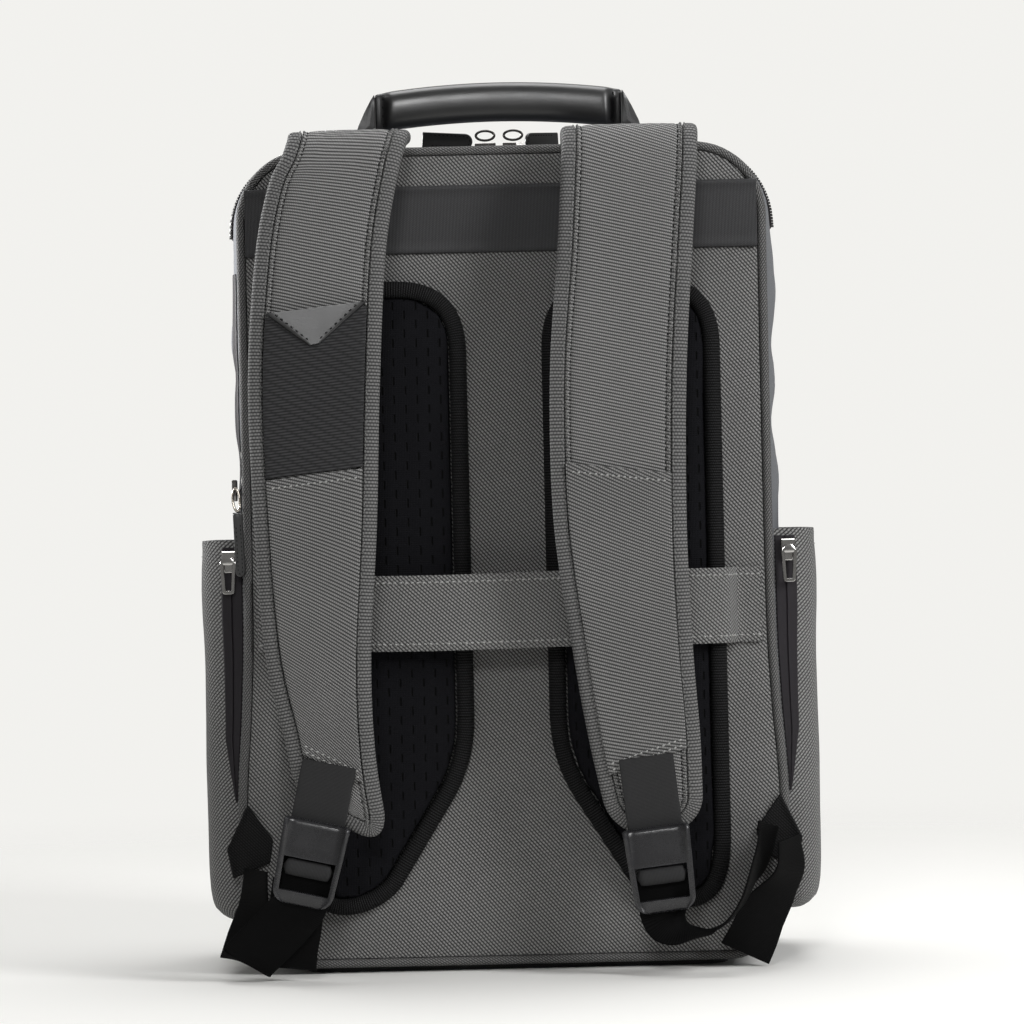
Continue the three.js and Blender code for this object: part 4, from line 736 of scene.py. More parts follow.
def finishes():
    """Every finish of the bag, made once from the colours in the panel."""
    if MADE:
        return MADE
    tint = bpy.context.scene.backpack_colours
    fine = bpy.context.scene.backpack_cloth
    twill, gap = tint.twill_thread, tint.twill_gap
    pitch = fine.twill_pitch
    # Every cloth below paints shade into the gaps of its weave and light on its threads
    MADE["twill"] = cloth_finish("Twill", gap, twill, pitch, 46, 1.15, 0.42, 0.32, sheen=0.1)
    MADE["panel"] = cloth_finish(
        "Panel twill", gap, shade(twill, 0.98), pitch, 42, 1.15, 0.42, 0.32, upright=True)
    MADE["strap"] = cloth_finish(
        "Strap twill", gap, shade(twill, 1.05), 1.72, 14, 0.62, 0.55, 0.34, sheen=0.1)
    MADE["cover"] = cloth_finish(
        "Strap cover twill", gap, shade(twill, 0.92), 1.8, 20, 0.7, 0.5, 0.3, sheen=0.1)
    MADE["binding"] = cloth_finish(
        "Binding tape", shade(gap, 2.4), shade(twill, 0.72), 1.85, 0, 1.0, 0.5, 0.22)
    MADE["piping"] = cloth_finish("Piping twill", gap, shade(twill, 0.7), 1.3, 55, 1.5, 0.4, 0.2)
    MADE["side"] = cloth_finish(
        "Side cloth", shade(tint.side_cloth, 0.72), tint.side_cloth, 0.7, 0, 1.2, 0.5, 0.06,
        rough=0.62, sheen=0.15)
    MADE["yoke"] = cloth_finish(
        "Yoke cloth", shade(tint.dark_cloth, 0.5), shade(tint.dark_cloth, 1.25), 0.8, 0, 1.3, 0.5, 0.1,
        rough=0.6)
    MADE["ribbed"] = cloth_finish(
        "Ribbed panel", shade(tint.dark_cloth, 0.3), tint.dark_cloth, 1.6, 0, 5.0, 0.3, 0.3)
    MADE["pad_rib"] = cloth_finish(
        "Pad binding", (0.001, 0.001, 0.001), shade(tint.black_cloth, 1.7), 1.5, 0, 0.9, 0.5, 0.45, shine=0.1)
    MADE["wing"] = cloth_finish(
        "Wing tab cloth", (0.003, 0.003, 0.003), shade(tint.black_cloth, 1.5), 1.3, 45, 1.5, 0.42, 0.2,
        upright=True, shine=0.1)
    MADE["webbing"] = cloth_finish(
        "Webbing", shade(tint.black_cloth, 1.2), shade(tint.black_cloth, 2.4), 0.75, 0, 0.8, 0.5, 0.07)
    # The same webbing, darkened all over as painted shade, for the runs and tails that face away from the
    # lights
    MADE["webbing_painted_shade"] = cloth_finish(
        "Webbing underside", shade(tint.black_cloth, 0.15), shade(tint.black_cloth, 0.45), 0.75, 0, 0.8, 0.5,
        0.07, shine=0.06)
    MADE["tape"] = cloth_finish(
        "Zip tape", shade(tint.tape, 0.55), tint.tape, 0.7, 90, 1.6, 0.5, 0.08, rough=0.6)
    MADE["pad"] = mesh_finish("Air mesh", tint.pad_mesh, (0.001, 0.001, 0.001))
    MADE["leather"] = leather_finish("Black leather", tint.leather, shade(tint.leather, 5), 0.34)
    MADE["plastic"] = hard_finish(
        "Buckle plastic", tint.plastic, shade(tint.plastic, 5), 0.27, reach=9.0)
    MADE["coil"] = hard_finish("Zip coil", (0.01, 0.01, 0.011), (0.04, 0.04, 0.04), 0.45)
    MADE["metal"] = hard_finish(
        "Polished metal", tint.metal, (0.8, 0.79, 0.77), 0.16, metal=1.0, relief=0.01)
    MADE["gunmetal"] = hard_finish(
        "Gunmetal", (0.13, 0.125, 0.12), (0.4, 0.39, 0.38), 0.2, metal=1.0, relief=0.01)
    MADE["pale_metal"] = hard_finish(
        "Pale metal", (0.62, 0.57, 0.5), (0.8, 0.76, 0.7), 0.2, metal=1.0, relief=0.01)
    MADE["base"] = cloth_finish(
        "Coated base", (0.006, 0.006, 0.006), (0.022, 0.022, 0.023), 1.0, 45, 1.4, 0.5, 0.08,
        rough=0.55, upright=True)
    MADE["thread"] = cloth_finish(
        "Grey thread", (0.2, 0.2, 0.197), (0.52, 0.52, 0.51), 0.35, 30, 2.0, 0.5, 0.05, upright=True)
    MADE["soft_thread"] = cloth_finish(
        "Soft grey thread", (0.08, 0.08, 0.079), (0.26, 0.26, 0.255), 0.35, 30, 2.0, 0.5, 0.05, upright=True)
    MADE["dark_thread"] = cloth_finish(
        "Black thread", (0.004, 0.004, 0.004), (0.02, 0.02, 0.02), 0.35, 30, 2.0, 0.5, 0.05, upright=True)
    return MADE


# Body of the bag

def make_gusset(fold_depth):
    """The cloth round the bag's sides, top and bottom, with its lining, open inside."""
    depths = np.linspace(GUSSET_BACK, GUSSET_FRONT, 40)
    outer = [gusset_points(OUTLINE, y, 0.0, fold_depth) for y in depths]
    inner = [gusset_points(OUTLINE, y, -CLOTH, fold_depth) for y in depths]
    rings = np.array(outer + inner[::-1])
    around = outline_along(OUTLINE)
    along = np.concatenate([depths, depths[::-1] + LINING_SHIFT, [depths[0]]])
    shape = Shape().skin(rings, along, around, joined=True)
    piece("side_gusset_cloth", shape, "side", ["side_gusset"])


def ring_at(y, inset, share):
    """The outline at a depth, moved in and drawn towards its middle."""
    middle = (HIGH + FLOOR) / 2
    x, z, nx, nz = OUTLINE.T
    return np.stack([
        (x - nx * inset) * share, np.broadcast_to(y, x.shape), lerp(middle, z - nz * inset, share)], axis=1)


def make_panel(name, y, facing, bulge, thick, puff, node):
    """A domed panel inside its piping, with edges that roll in towards the seam."""
    shares = np.array([0.02, 0.1, 0.2, 0.32, 0.45, 0.57, 0.68, 0.78, 0.86, 0.92, 0.955, 0.975, 0.988, 1])
    rings = []
    for share in shares:
        roll = puff * (share ** 22)
        rings.append(ring_at(y + facing * (bulge * (1 - share ** 2.4) - roll), PIPING + CLEAR, share))
    for share in shares[::-1]:
        back = y + facing * (bulge * (1 - share ** 2.4) - thick)
        rings.append(ring_at(back, PIPING + CLEAR, share))
    rings = np.array(rings)
    shape = Shape()
    rows, corners = rings.shape[:2]
    flat = rings.reshape(-1, 3)
    faces, cloth = [], []
    for i in range(rows - 1):
        for k in range(corners):
            n = (k + 1) % corners
            quad = (i * corners + k, i * corners + n, (i + 1) * corners + n, (i + 1) * corners + k)
            faces.append(quad)
            cloth.extend((flat[q][0], flat[q][2]) for q in quad)
    for start in (0, (rows - 1) * corners):
        ring = tuple(range(start, start + corners))
        faces.append(ring)
        cloth.extend((flat[q][0], flat[q][2]) for q in ring)
    shape.add(rings, faces, cloth)
    return piece(name, shape, "panel", [node])


def make_piping(name, y, node):
    """A cord sewn into the seam, with the pull of its stitches in it."""
    sides = 12
    around_count = len(OUTLINE)
    angles = 2 * math.pi * np.arange(sides) / sides
    rings = []
    for i in range(around_count):
        x, z, nx, nz = OUTLINE[i]
        pull = 1 + 0.02 * math.sin(i * 1.7)
        ring = []
        for a in angles:
            inset = PIPING / 2 + PIPING / 2 * math.cos(a) * pull * 0.99
            ring.append((x - nx * inset, y + PIPING / 2 * math.sin(a) * 0.99, z - nz * inset))
        rings.append(ring)
    around = around_section(np.stack([np.cos(angles), np.sin(angles)], axis=1) * PIPING / 2)
    shape = Shape().skin(rings, outline_along(OUTLINE), around, joined=True)
    piece(name, shape, "piping", [node])


def make_yoke():
    """The smooth band across the top of the back panel, with a turned edge above and below."""
    low, high = (np.array(c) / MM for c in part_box("yoke_band"))
    xs = np.linspace(low[0], high[0], 60)
    shares = np.array([
        0, 0.012, 0.03, 0.06, 0.09, 0.12, 0.2, 0.35, 0.5, 0.65, 0.8, 0.88, 0.91, 0.94, 0.97, 0.988, 1])
    lift = np.array([0.3, 0.8, 1, 1, 0.9, 0.72, 0.74, 0.8, 0.82, 0.8, 0.74, 0.72, 0.9, 1, 1, 0.8, 0.3])
    thick = high[1] - low[1]
    zs = lerp(low[2], high[2], shares)
    front = np.array([[(x, high[1] - up * thick, z) for up, z in zip(lift, zs)] for x in xs])
    back = np.array([[(x, high[1], z) for z in zs] for x in xs])
    shape = Shape().slab(front, back, xs, shares * (high[2] - low[2]))
    piece("yoke_cloth_band", shape, "yoke", ["yoke_band"])


# Back pads and luggage strap

def curve(a, control, b, count):
    """Points of a bend from a to b, pulled towards a third point."""
    t = np.linspace(0, 1, count, endpoint=False)[:, None]
    a, control, b = (np.array(p, float) for p in (a, control, b))
    return (1 - t) ** 2 * a + 2 * t * (1 - t) * control + t * t * b


def pad_outline(sign, count=300):
    """Outline of a back pad, its inner side slanting out below, evenly spaced and open at the end."""
    foot_x = lerp(PAD_INNER, PAD_OUTER, 0.75)
    slant_x = lerp(PAD_INNER, PAD_OUTER, 0.44)
    slant_z = lerp(PAD_BOTTOM, PAD_SLANT_TOP, 0.14)
    side_z = lerp(PAD_BOTTOM, PAD_SLANT_TOP, 0.44)
    start = (PAD_INNER, PAD_SLANT_TOP + 14)
    low = (PAD_INNER, PAD_SLANT_TOP - 12)
    turn = (lerp(low[0], slant_x, 0.3), lerp(low[1], slant_z, 0.3))
    corner_a, corner_b = (PAD_INNER, PAD_TOP - PAD_CORNER), (PAD_INNER + PAD_CORNER, PAD_TOP)
    corner_c, corner_d = (PAD_OUTER - PAD_CORNER, PAD_TOP), (PAD_OUTER, PAD_TOP - PAD_CORNER)
    points = np.concatenate([
        [start], curve(corner_a, (PAD_INNER, PAD_TOP), corner_b, 16),
        curve(corner_c, (PAD_OUTER, PAD_TOP), corner_d, 16),
        curve((PAD_OUTER, side_z), (PAD_OUTER, PAD_BOTTOM), (foot_x, PAD_BOTTOM), 20),
        curve((foot_x, PAD_BOTTOM), (lerp(foot_x, slant_x, 0.55), PAD_BOTTOM), (slant_x, slant_z), 10),
        curve((slant_x, slant_z), (slant_x, slant_z), turn, 6), curve(turn, low, start, 14), [start],
    ])
    even = resampled(points, count + 1)[:-1]
    for _ in range(3):
        even = (np.roll(even, 1, 0) + 2 * even + np.roll(even, -1, 0)) / 4
    even[:, 0] *= sign
    return even


def inset_loop(points, inset):
    """A closed line moved inward."""
    ahead = unit(np.roll(points, -1, 0) - np.roll(points, 1, 0))
    inward = np.stack([-ahead[:, 1], ahead[:, 0]], axis=1)
    area = np.sum(points[:, 0] * np.roll(points[:, 1], -1) - np.roll(points[:, 0], -1) * points[:, 1])
    return points + inward * inset * np.sign(area)


def make_pad_binding(side, sign):
    """The rounded tape round a back pad."""
    outline = pad_outline(sign)
    section = np.array([
        (0, 0), (0, 0.2), (0.03, 0.45), (0.12, 0.72), (0.28, 0.93), (0.46, 1), (0.66, 1), (0.82, 0.94),
        (0.94, 0.82), (1, 0.6), (1, 0.3), (1, 0)])
    rings = []
    loops = [inset_loop(outline, inset * PAD_BINDING) for inset, _ in section]
    for i in range(len(outline)):
        rings.append([
            (loops[k][i][0], BACK - CLEAR - out * PAD_BINDING_THICK, loops[k][i][1])
            for k, (_, out) in enumerate(section)])
    around = around_section(section * (PAD_BINDING, PAD_BINDING_THICK))
    along = lengths(np.concatenate([outline, outline[:1]]))
    shape = Shape().skin(rings, along, around, joined=True)
    piece(f"pad_rim_{side}", shape, "pad_rib", [f"pad_binding_{side}"])


def distance_to_loop(points, loop):
    """How far each point lies from a closed line."""
    a, b = loop, np.roll(loop, -1, 0)
    best = np.full(len(points), 1e9)
    for p, q in zip(a, b):
        step = q - p
        t = np.clip(((points - p) @ step) / max(step @ step, 1e-9), 0, 1)
        best = np.minimum(best, np.linalg.norm(points - p - t[:, None] * step, axis=1))
    return best


def swell(made, pressure):
    """Remeshes a pad and blows it up a little in a cloth simulation, its back held flat."""
    remesh = made.modifiers.new("even faces", "REMESH")
    remesh.mode = "VOXEL"
    remesh.voxel_size = PAD_VOXEL * MM
    remesh.use_smooth_shade = True
    take_shape(made)
    mesh = made.data
    start = np.zeros(len(mesh.vertices) * 3)
    mesh.vertices.foreach_get("co", start)
    start = start.reshape(-1, 3)
    held = made.vertex_groups.new(name="held")
    held.add([int(i) for i in np.nonzero(start[:, 1] > (BACK - CLEAR - 1.0) * MM)[0]], 1.0, "REPLACE")
    cloth = made.modifiers.new("cloth", "CLOTH")
    cloth.settings.quality = 5
    cloth.settings.mass = 0.3
    cloth.settings.tension_stiffness = cloth.settings.compression_stiffness = 20
    cloth.settings.use_pressure = True
    cloth.settings.uniform_pressure_force = pressure
    cloth.settings.vertex_group_mass = "held"
    cloth.settings.effector_weights.gravity = 0
    cloth.collision_settings.use_collision = False
    scene = bpy.context.scene
    for step in range(1, SWELL_STEPS + 1):
        scene.frame_set(step)
    take_shape(made, only="cloth")
    scene.frame_set(1)
    moved = np.zeros(start.size)
    made.data.vertices.foreach_get("co", moved)
    shift = moved.reshape(-1, 3) - start
    size = np.linalg.norm(shift, axis=1, keepdims=True)
    shift *= np.minimum(1, PAD_SWELL * MM / np.maximum(size, 1e-9))
    made.data.vertices.foreach_set("co", (start + shift).ravel())
    made.data.update()


def take_shape(made, only=None):
    """Makes what the modifiers give the piece's own mesh, and removes them."""
    graph = bpy.context.evaluated_depsgraph_get()
    graph.update()
    mesh = bpy.data.meshes.new_from_object(made.evaluated_get(graph))
    if only:
        made.modifiers.remove(made.modifiers[only])
    else:
        made.modifiers.clear()
    old = made.data
    made.data = mesh
    mesh.name = made.name
    bpy.data.meshes.remove(old)


def make_pad(side, sign, pressure, channel):
    """A foam pad under air mesh: blown up by simulation, then sewn down along a channel."""
    rim = inset_loop(pad_outline(sign), PAD_BINDING - 0.8)
    middle = np.array([sign * (PAD_INNER + PAD_OUTER) / 2, lerp(PAD_BOTTOM, PAD_TOP, 0.55)])
    levels = (
        (1, 0.0), (1, 0.3), (0.995, 0.58), (0.97, 0.72), (0.9, 0.8), (0.75, 0.83), (0.5, 0.84), (0.25, 0.84))
    rings = []
    for share, out in levels:
        y = BACK - 1.5 * CLEAR - out * PAD_THICK
        rings.append([(x, y, z) for x, z in (lerp(middle, p, share) for p in rim)])
    shape = Shape().skin(rings, np.arange(len(levels)), np.arange(len(rim) + 1))
    made = piece(f"air_mesh_pad_{side}", shape, "pad", [f"pad_{side}"])
    swell(made, pressure)
    mesh = made.data
    spots = np.zeros(len(mesh.vertices) * 3)
    mesh.vertices.foreach_get("co", spots)
    spots = spots.reshape(-1, 3) / MM
    away = distance_to_loop(spots[:, [0, 2]], rim)
    front = eased((BACK - 4 - spots[:, 1]) / 4)
    dent = np.exp(-((away - channel) / 1.6) ** 2) * 1.3 + np.exp(-((away - channel - 5) / 1.6) ** 2) * 0.7
    spots[:, 1] += dent * front
    spots[:, 1] = np.clip(spots[:, 1], BACK - CLEAR - PAD_THICK, BACK - CLEAR - 0.05)
    mesh.vertices.foreach_set("co", (spots * MM).ravel())
    mesh.polygons.foreach_set("use_smooth", [True] * len(mesh.polygons))
    mesh.update()
    rounding = made.modifiers.new("rounding", "SUBSURF")
    rounding.levels = rounding.render_levels = 1


def ribbon(middle, wide, width, thick, hem):
    """Rings of a flat strap through its middle line, with rounded edges, and its cloth coordinates."""
    middle = np.asarray(middle, float)
    ahead = unit(np.gradient(middle, axis=0))
    wide = np.broadcast_to(np.asarray(wide, float), middle.shape)
    wide = unit(wide - ahead * np.sum(wide * ahead, axis=1, keepdims=True))
    out = np.cross(ahead, wide)
    spread = np.array([-1, -0.985, -0.95, -0.88, -0.8, -0.6, -0.3, 0, 0.3, 0.6, 0.8, 0.88, 0.95, 0.985, 1])
    edge = np.clip((1 - np.abs(spread)) / 0.05, 0, 1) ** 0.5
    ridge = hem * np.exp(-(((1 - np.abs(spread)) - 0.06) / 0.06) ** 2)
    lift = (0.35 + 0.65 * edge) * thick / 2 - ridge * thick
    rows = []
    for m, w, o in zip(middle, wide, out):
        face = [m + w * s * width / 2 + o * l for s, l in zip(spread, lift)]
        back = [m + w * s * width / 2 - o * l for s, l in zip(spread, lift)]
        rows.append(face + back[::-1])
    across = spread * width / 2
    around = np.concatenate([across, across[::-1], across[:1]])
    return np.array(rows), lengths(middle), around, out


def make_luggage_strap(pitch):
    """The luggage band across the back: sewn flat at both ends, slack over the pads."""
    flat = BACK - CLEAR - 1
    over = BACK - 2 * CLEAR - PAD_THICK - CLOTH
    half = [
        (LUGGAGE_REACH, flat), (LUGGAGE_SEAM, flat),
        (lerp(PAD_OUTER, LUGGAGE_SEAM, 0.45), lerp(flat, over, 0.45)),
        (lerp(PAD_OUTER, PAD_INNER, 0.03), over),
        (lerp(PAD_OUTER, PAD_INNER, 0.3), over - 0.5 * LUGGAGE_SLACK),
        (lerp(PAD_OUTER, PAD_INNER, 0.7), over - 0.88 * LUGGAGE_SLACK), (0, over - LUGGAGE_SLACK),
    ]
    line = np.array(half + [(-x, y) for x, y in half[-2::-1]])
    fine = resampled(np.concatenate([line[:2], smooth_rows(line[1:-1], 6)[1:-1], line[-2:]]), 120)
    middle = (LUGGAGE_LOW + LUGGAGE_HIGH) / 2
    sag = 0.5 * np.sin(fine[:, 0] / 31) * eased((120 - np.abs(fine[:, 0])) / 40)
    points = np.stack([fine[:, 0], fine[:, 1], np.full(len(fine), middle) + sag], axis=1)
    width = LUGGAGE_HIGH - LUGGAGE_LOW
    rings, along, around, out = ribbon(points, (0, 0, 1), width, CLOTH, LUGGAGE_HEM)
    shape = Shape().skin(rings, -along, around)
    made = piece("luggage_band", shape, "twill", ["luggage_strap"])
    seams = Shape()
    for edge in (-1, 1):
        path = points - out * (CLOTH / 2 + 0.05) + np.array([0, 0, edge * (width / 2 - 4)])
        stitches(seams, path, -out, pitch * 0.62, pitch * 0.38, 0.95, slant=18 * edge)
    for x in (-LUGGAGE_SEAM, LUGGAGE_SEAM):
        z = np.linspace(LUGGAGE_LOW + 5, LUGGAGE_HIGH - 5, 20)
        path = np.stack([np.full(20, x), np.full(20, flat - CLOTH / 2 - 0.05), z], axis=1)
        stitches(seams, path, np.array([0, -1, 0]), pitch * 0.6, pitch * 0.4, 0.85)
    thread = piece("luggage_band_stitches", seams, "thread")


# Shoulder straps

class Strap:
    """A shoulder strap laid out flat: its stations down its length, its edges, and its place in the air."""

    def __init__(self, side, sign):
        self.side, self.sign = side, sign
        rows = smooth_rows(STRAP_ROWS[side], 8)
        up, out, inner, outer, lean = rows.T
        self.y = STRAP_ROOT - out * STRAP_STAND
        self.z = lerp(STRAP_TIP, STRAP_CREST_HIGH, up)
        self.s = lengths(np.stack([self.y, self.z], axis=1))
        self.total = self.s[-1]
        self.inner, self.outer = sign * inner * HALF, sign * outer * HALF
        self.lift = lean * STRAP_LEAN
        self.crest = int(np.argmax(self.z))
        near_tip = self.total - STRAP_TIP_ROUND * np.array([
            0.85, 0.7, 0.55, 0.4, 0.28, 0.18, 0.1, 0.05, 0.015, 0])
        even = np.linspace(0, self.total - STRAP_TIP_ROUND, 170)
        self.stations = np.concatenate([even, near_tip])
        left = self.total - self.stations
        inside = np.clip(STRAP_TIP_ROUND - left, 0, None)
        cut = STRAP_TIP_ROUND - np.sqrt(STRAP_TIP_ROUND ** 2 - inside ** 2)
        inner, outer, lift = (
            np.interp(self.stations, self.s, v) for v in (self.inner, self.outer, self.lift))
        tilt = lift * (1 - 2 * cut / np.abs(outer - inner))
        self.inner_edge = np.stack([inner + sign * cut, self.stations + tilt], axis=1)
        self.outer_edge = np.stack([outer - sign * cut, self.stations - tilt], axis=1)
        self.edge = np.concatenate([self.inner_edge, self.outer_edge[::-1]])

    def side_view(self, s):
        s = np.asarray(s, float)
        inside = np.clip(s, 0, self.total)
        y, z = np.interp(inside, self.s, self.y), np.interp(inside, self.s, self.z)
        for end, a, b in ((0, 0, 1), (self.total, -2, -1)):
            step = unit(np.array([self.y[b] - self.y[a], self.z[b] - self.z[a]]))
            spare = np.where(s < 0, s, 0) if end == 0 else np.where(s > self.total, s - self.total, 0)
            y, z = y + step[0] * spare, z + step[1] * spare
        return y, z

    def place(self, x, s, lift):
        """The point at x across and s along, lifted off the middle of the strap's thickness."""
        y, z = self.side_view(s)
        ya, za = self.side_view(np.asarray(s) - 2.5)
        yb, zb = self.side_view(np.asarray(s) + 2.5)
        out = unit(np.stack([zb - za, ya - yb], axis=-1))
        return np.stack(np.broadcast_arrays(x, y + out[..., 0] * lift, z + out[..., 1] * lift), axis=-1)

    def out(self, s):
        return unit(self.place(0.0, s, 1.0) - self.place(0.0, s, 0.0))

    def along_at(self, z):
        """How far along the strap its face comes down to a height."""
        heights, s = self.z[self.crest:], self.s[self.crest:]
        return float(np.interp(-z, -heights, s))

    def inset(self, amount):
        """The edge moved inward on the flat strap."""
        ahead = unit(np.gradient(self.edge, axis=0))
        inward = np.stack([-ahead[:, 1], ahead[:, 0]], axis=1)
        centre = (self.inner + self.outer).mean() / 2
        start = len(self.stations) // 2
        if inward[start, 0] * (centre - self.edge[start, 0]) < 0:
            inward = -inward
        inward[0] = (self.sign, 0)
        inward[-1] = (-self.sign, 0)
        return self.edge + inward * amount

    def width_at(self, s):
        rim = (STRAP_BINDING + CLEAR) * self.sign
        return np.interp(s, self.s, self.inner) + rim, np.interp(s, self.s, self.outer) - rim


def rumple(x, s, depth):
    """Soft hollows across a strap, as padding shows where it bends."""
    return depth * (np.sin(s / 23 + x / 31) + 0.5 * np.sin(s / 11 - x / 19))


def make_strap_body(strap, rise):
    """The padded strap under its face cloth: a sewn rim, a channel and a crowned face."""
    rim = strap.inset(STRAP_BINDING + CLEAR)
    count = len(strap.stations)
    inner, outer = rim[:count], rim[count:][::-1]
    depth = np.array([0, 0.5, 1.2, 2.2, 2.8, 3.4, 4.6, 7, 11])
    height = np.array([2.7, 3.7, 4.0, 3.9, 3.1, 3.6, 4.0, 4.25, 4.4])
    rings = []
    usual = depth / STRAP_FACE_WIDTH
    usual = np.sort(np.concatenate([usual, np.linspace(0.3, 0.7, 5), 1 - usual[::-1]]))
    for i in range(count):
        a, b = inner[i], outer[i]
        wide = np.linalg.norm(b - a)
        d = np.minimum(depth, wide * 0.48)
        shares = np.concatenate([d / wide, np.linspace(0.3, 0.7, 5), 1 - d[::-1] / wide])
        shares = np.sort(np.clip(shares, 0, 1))
        lifts = np.concatenate([height, [4.45, 4.5, 4.5, 4.5, 4.45], height[::-1]])
        x, s = lerp(a[0], b[0], shares), lerp(a[1], b[1], shares)
        soft = np.where((shares > 0.12) & (shares < 0.88), rumple(x, s, 0.2 * rise), 0)
        face = strap.place(x, s, lifts + soft)
        back = strap.place(x, s, -(2.7 + 1.6 * np.sin(math.pi * shares) ** 0.5))
        rings.append(np.concatenate([face, back[::-1]]))
    across = -strap.sign * usual * STRAP_FACE_WIDTH
    around = np.concatenate([across, across[::-1], across[:1]])
    shape = Shape().skin(rings, strap.stations, around)
    made = piece(
        f"strap_padding_{strap.side}", shape, "strap",
        [f"shoulder_strap_{strap.side}"], sharp=70)


def make_strap_binding(strap):
    """The tape folded over a strap's edge."""
    section = (
        (1, 3.2), (0.97, 3.75), (0.85, 4), (0.6, 4), (0.35, 3.85), (0.15, 3.2), (0.04, 2.1), (0.001, 0.8),
        (0.001, -0.8), (0.04, -2.1), (0.15, -3.2), (0.35, -3.85), (0.6, -4), (0.85, -3.9), (1, -3.2), (1, 0),
    )
    loops = [strap.inset(share * STRAP_BINDING) for share, _ in section]
    columns = [strap.place(loop[:, 0], loop[:, 1], lift) for loop, (_, lift) in zip(loops, section)]
    rings = np.stack(columns, axis=1)
    around = around_section([(share * STRAP_BINDING, lift) for share, lift in section])
    shape = Shape().skin(rings, lengths(strap.edge), around)
    piece(
        f"strap_edge_tape_{strap.side}", shape, "binding",
        [f"strap_binding_{strap.side}"], sharp=60)


def make_strap_stitches(strap, pitch):
    """Zigzag stitches on the rim beside the tape, and a lock stitch in the channel."""
    seams = Shape()
    for inset, lift, long, gap, slant in (
        (STRAP_BINDING + 1.3, 4.15, 0.6, 0.22, 38), (STRAP_BINDING - 0.9, 4.2, 0.55, 0.45, 0),
    ):
        loop = strap.inset(inset)
        path = strap.place(loop[:, 0], loop[:, 1], lift)
        stitches(seams, path, strap.out(loop[:, 1]), pitch * long, pitch * gap, 0.75, slant=slant)
    piece(f"strap_stitches_{strap.side}", seams, "soft_thread")
    dark = Shape()
    loop = strap.inset(STRAP_BINDING + CLEAR + 2.8)
    path = strap.place(loop[:, 0], loop[:, 1], 3.35)
    stitches(dark, path, strap.out(loop[:, 1]), pitch * 0.6, pitch * 0.5, 0.8)
    piece(f"strap_channel_stitches_{strap.side}", dark, "dark_thread")


def strap_layer(strap, top, bottom, lift, thick, slants, spans=None, steps=60, edge_drop=0.5, lip=0.0):
    """A layer of cloth on a strap's face between two heights, with slanted ends and rolled edges."""
    s_top, s_bottom = strap.along_at(top), strap.along_at(bottom)
    shares = np.linspace(0, 1, steps)
    across = np.array([0, 0.012, 0.04, 0.1, 0.2, 0.35, 0.5, 0.65, 0.8, 0.9, 0.96, 0.988, 1])
    rim = np.array([edge_drop, 0.2, 0.05, 0, 0, 0, 0, 0, 0, 0, 0.05, 0.2, edge_drop])
    top_rows, under_rows = [], []
    for share in shares:
        s = lerp(s_top, s_bottom, share)
        inner, outer = strap.width_at(s)
        span = spans(share) if spans else (0, 1)
        a, b = lerp(inner, outer, span[0]), lerp(inner, outer, span[1])
        x = lerp(a, b, across)
        tilt = lerp(slants[0], slants[1], share) * (2 * (x - inner) / (outer - inner) - 1)
        roll = lip * math.exp(-((share * (s_bottom - s_top) - 2.5) / 2) ** 2)
        row = s + tilt
        face = lift + thick * (1 - rim) + roll
        top_rows.append(strap.place(x, row, face))
        under_rows.append(strap.place(x, row, np.full_like(x, lift)))
    run = shares * (s_bottom - s_top)
    wide = -across * (strap.width_at(s_top)[1] - strap.width_at(s_top)[0])
    return Shape().slab(np.array(top_rows), np.array(under_rows), run, wide)


def layer_line(strap, z, drop, slant, lift):
    """A line across a strap's face, parallel to a layer's slanted end."""
    s = strap.along_at(z) + drop
    inner, outer = strap.width_at(s)
    x = lerp(inner, outer, np.linspace(0.04, 0.96, 30))
    row = s + slant * (2 * (x - inner) / (outer - inner) - 1)
    return strap.place(x, row, lift), strap.out(row)


def make_strap_cover(strap, pitch):
    """The lower face of a strap, hemmed at its top and sewn down over the webbing on a slant."""
    slants = STRAP_SLANTS[strap.side]
    shape = strap_layer(strap, COVER_HEM, COVER_FOOT, STRAP_FACE, STRAP_COVER, slants, lip=0.6)
    piece(
        f"strap_lower_face_{strap.side}", shape, "cover",
        [f"strap_cover_{strap.side}"], sharp=50)
    seams = Shape()
    high = STRAP_FACE + STRAP_COVER + 0.1
    hem, foot = slants
    for z, drop, slant in ((COVER_HEM, 4.5, hem), (COVER_FOOT, -2.2, foot), (COVER_FOOT, -5.6, foot)):
        path, out = layer_line(strap, z, drop, slant, high)
        stitches(seams, path, out, pitch * 0.6, pitch * 0.35, 0.95, slant=20)
    piece(f"strap_face_stitches_{strap.side}", seams, "thread")


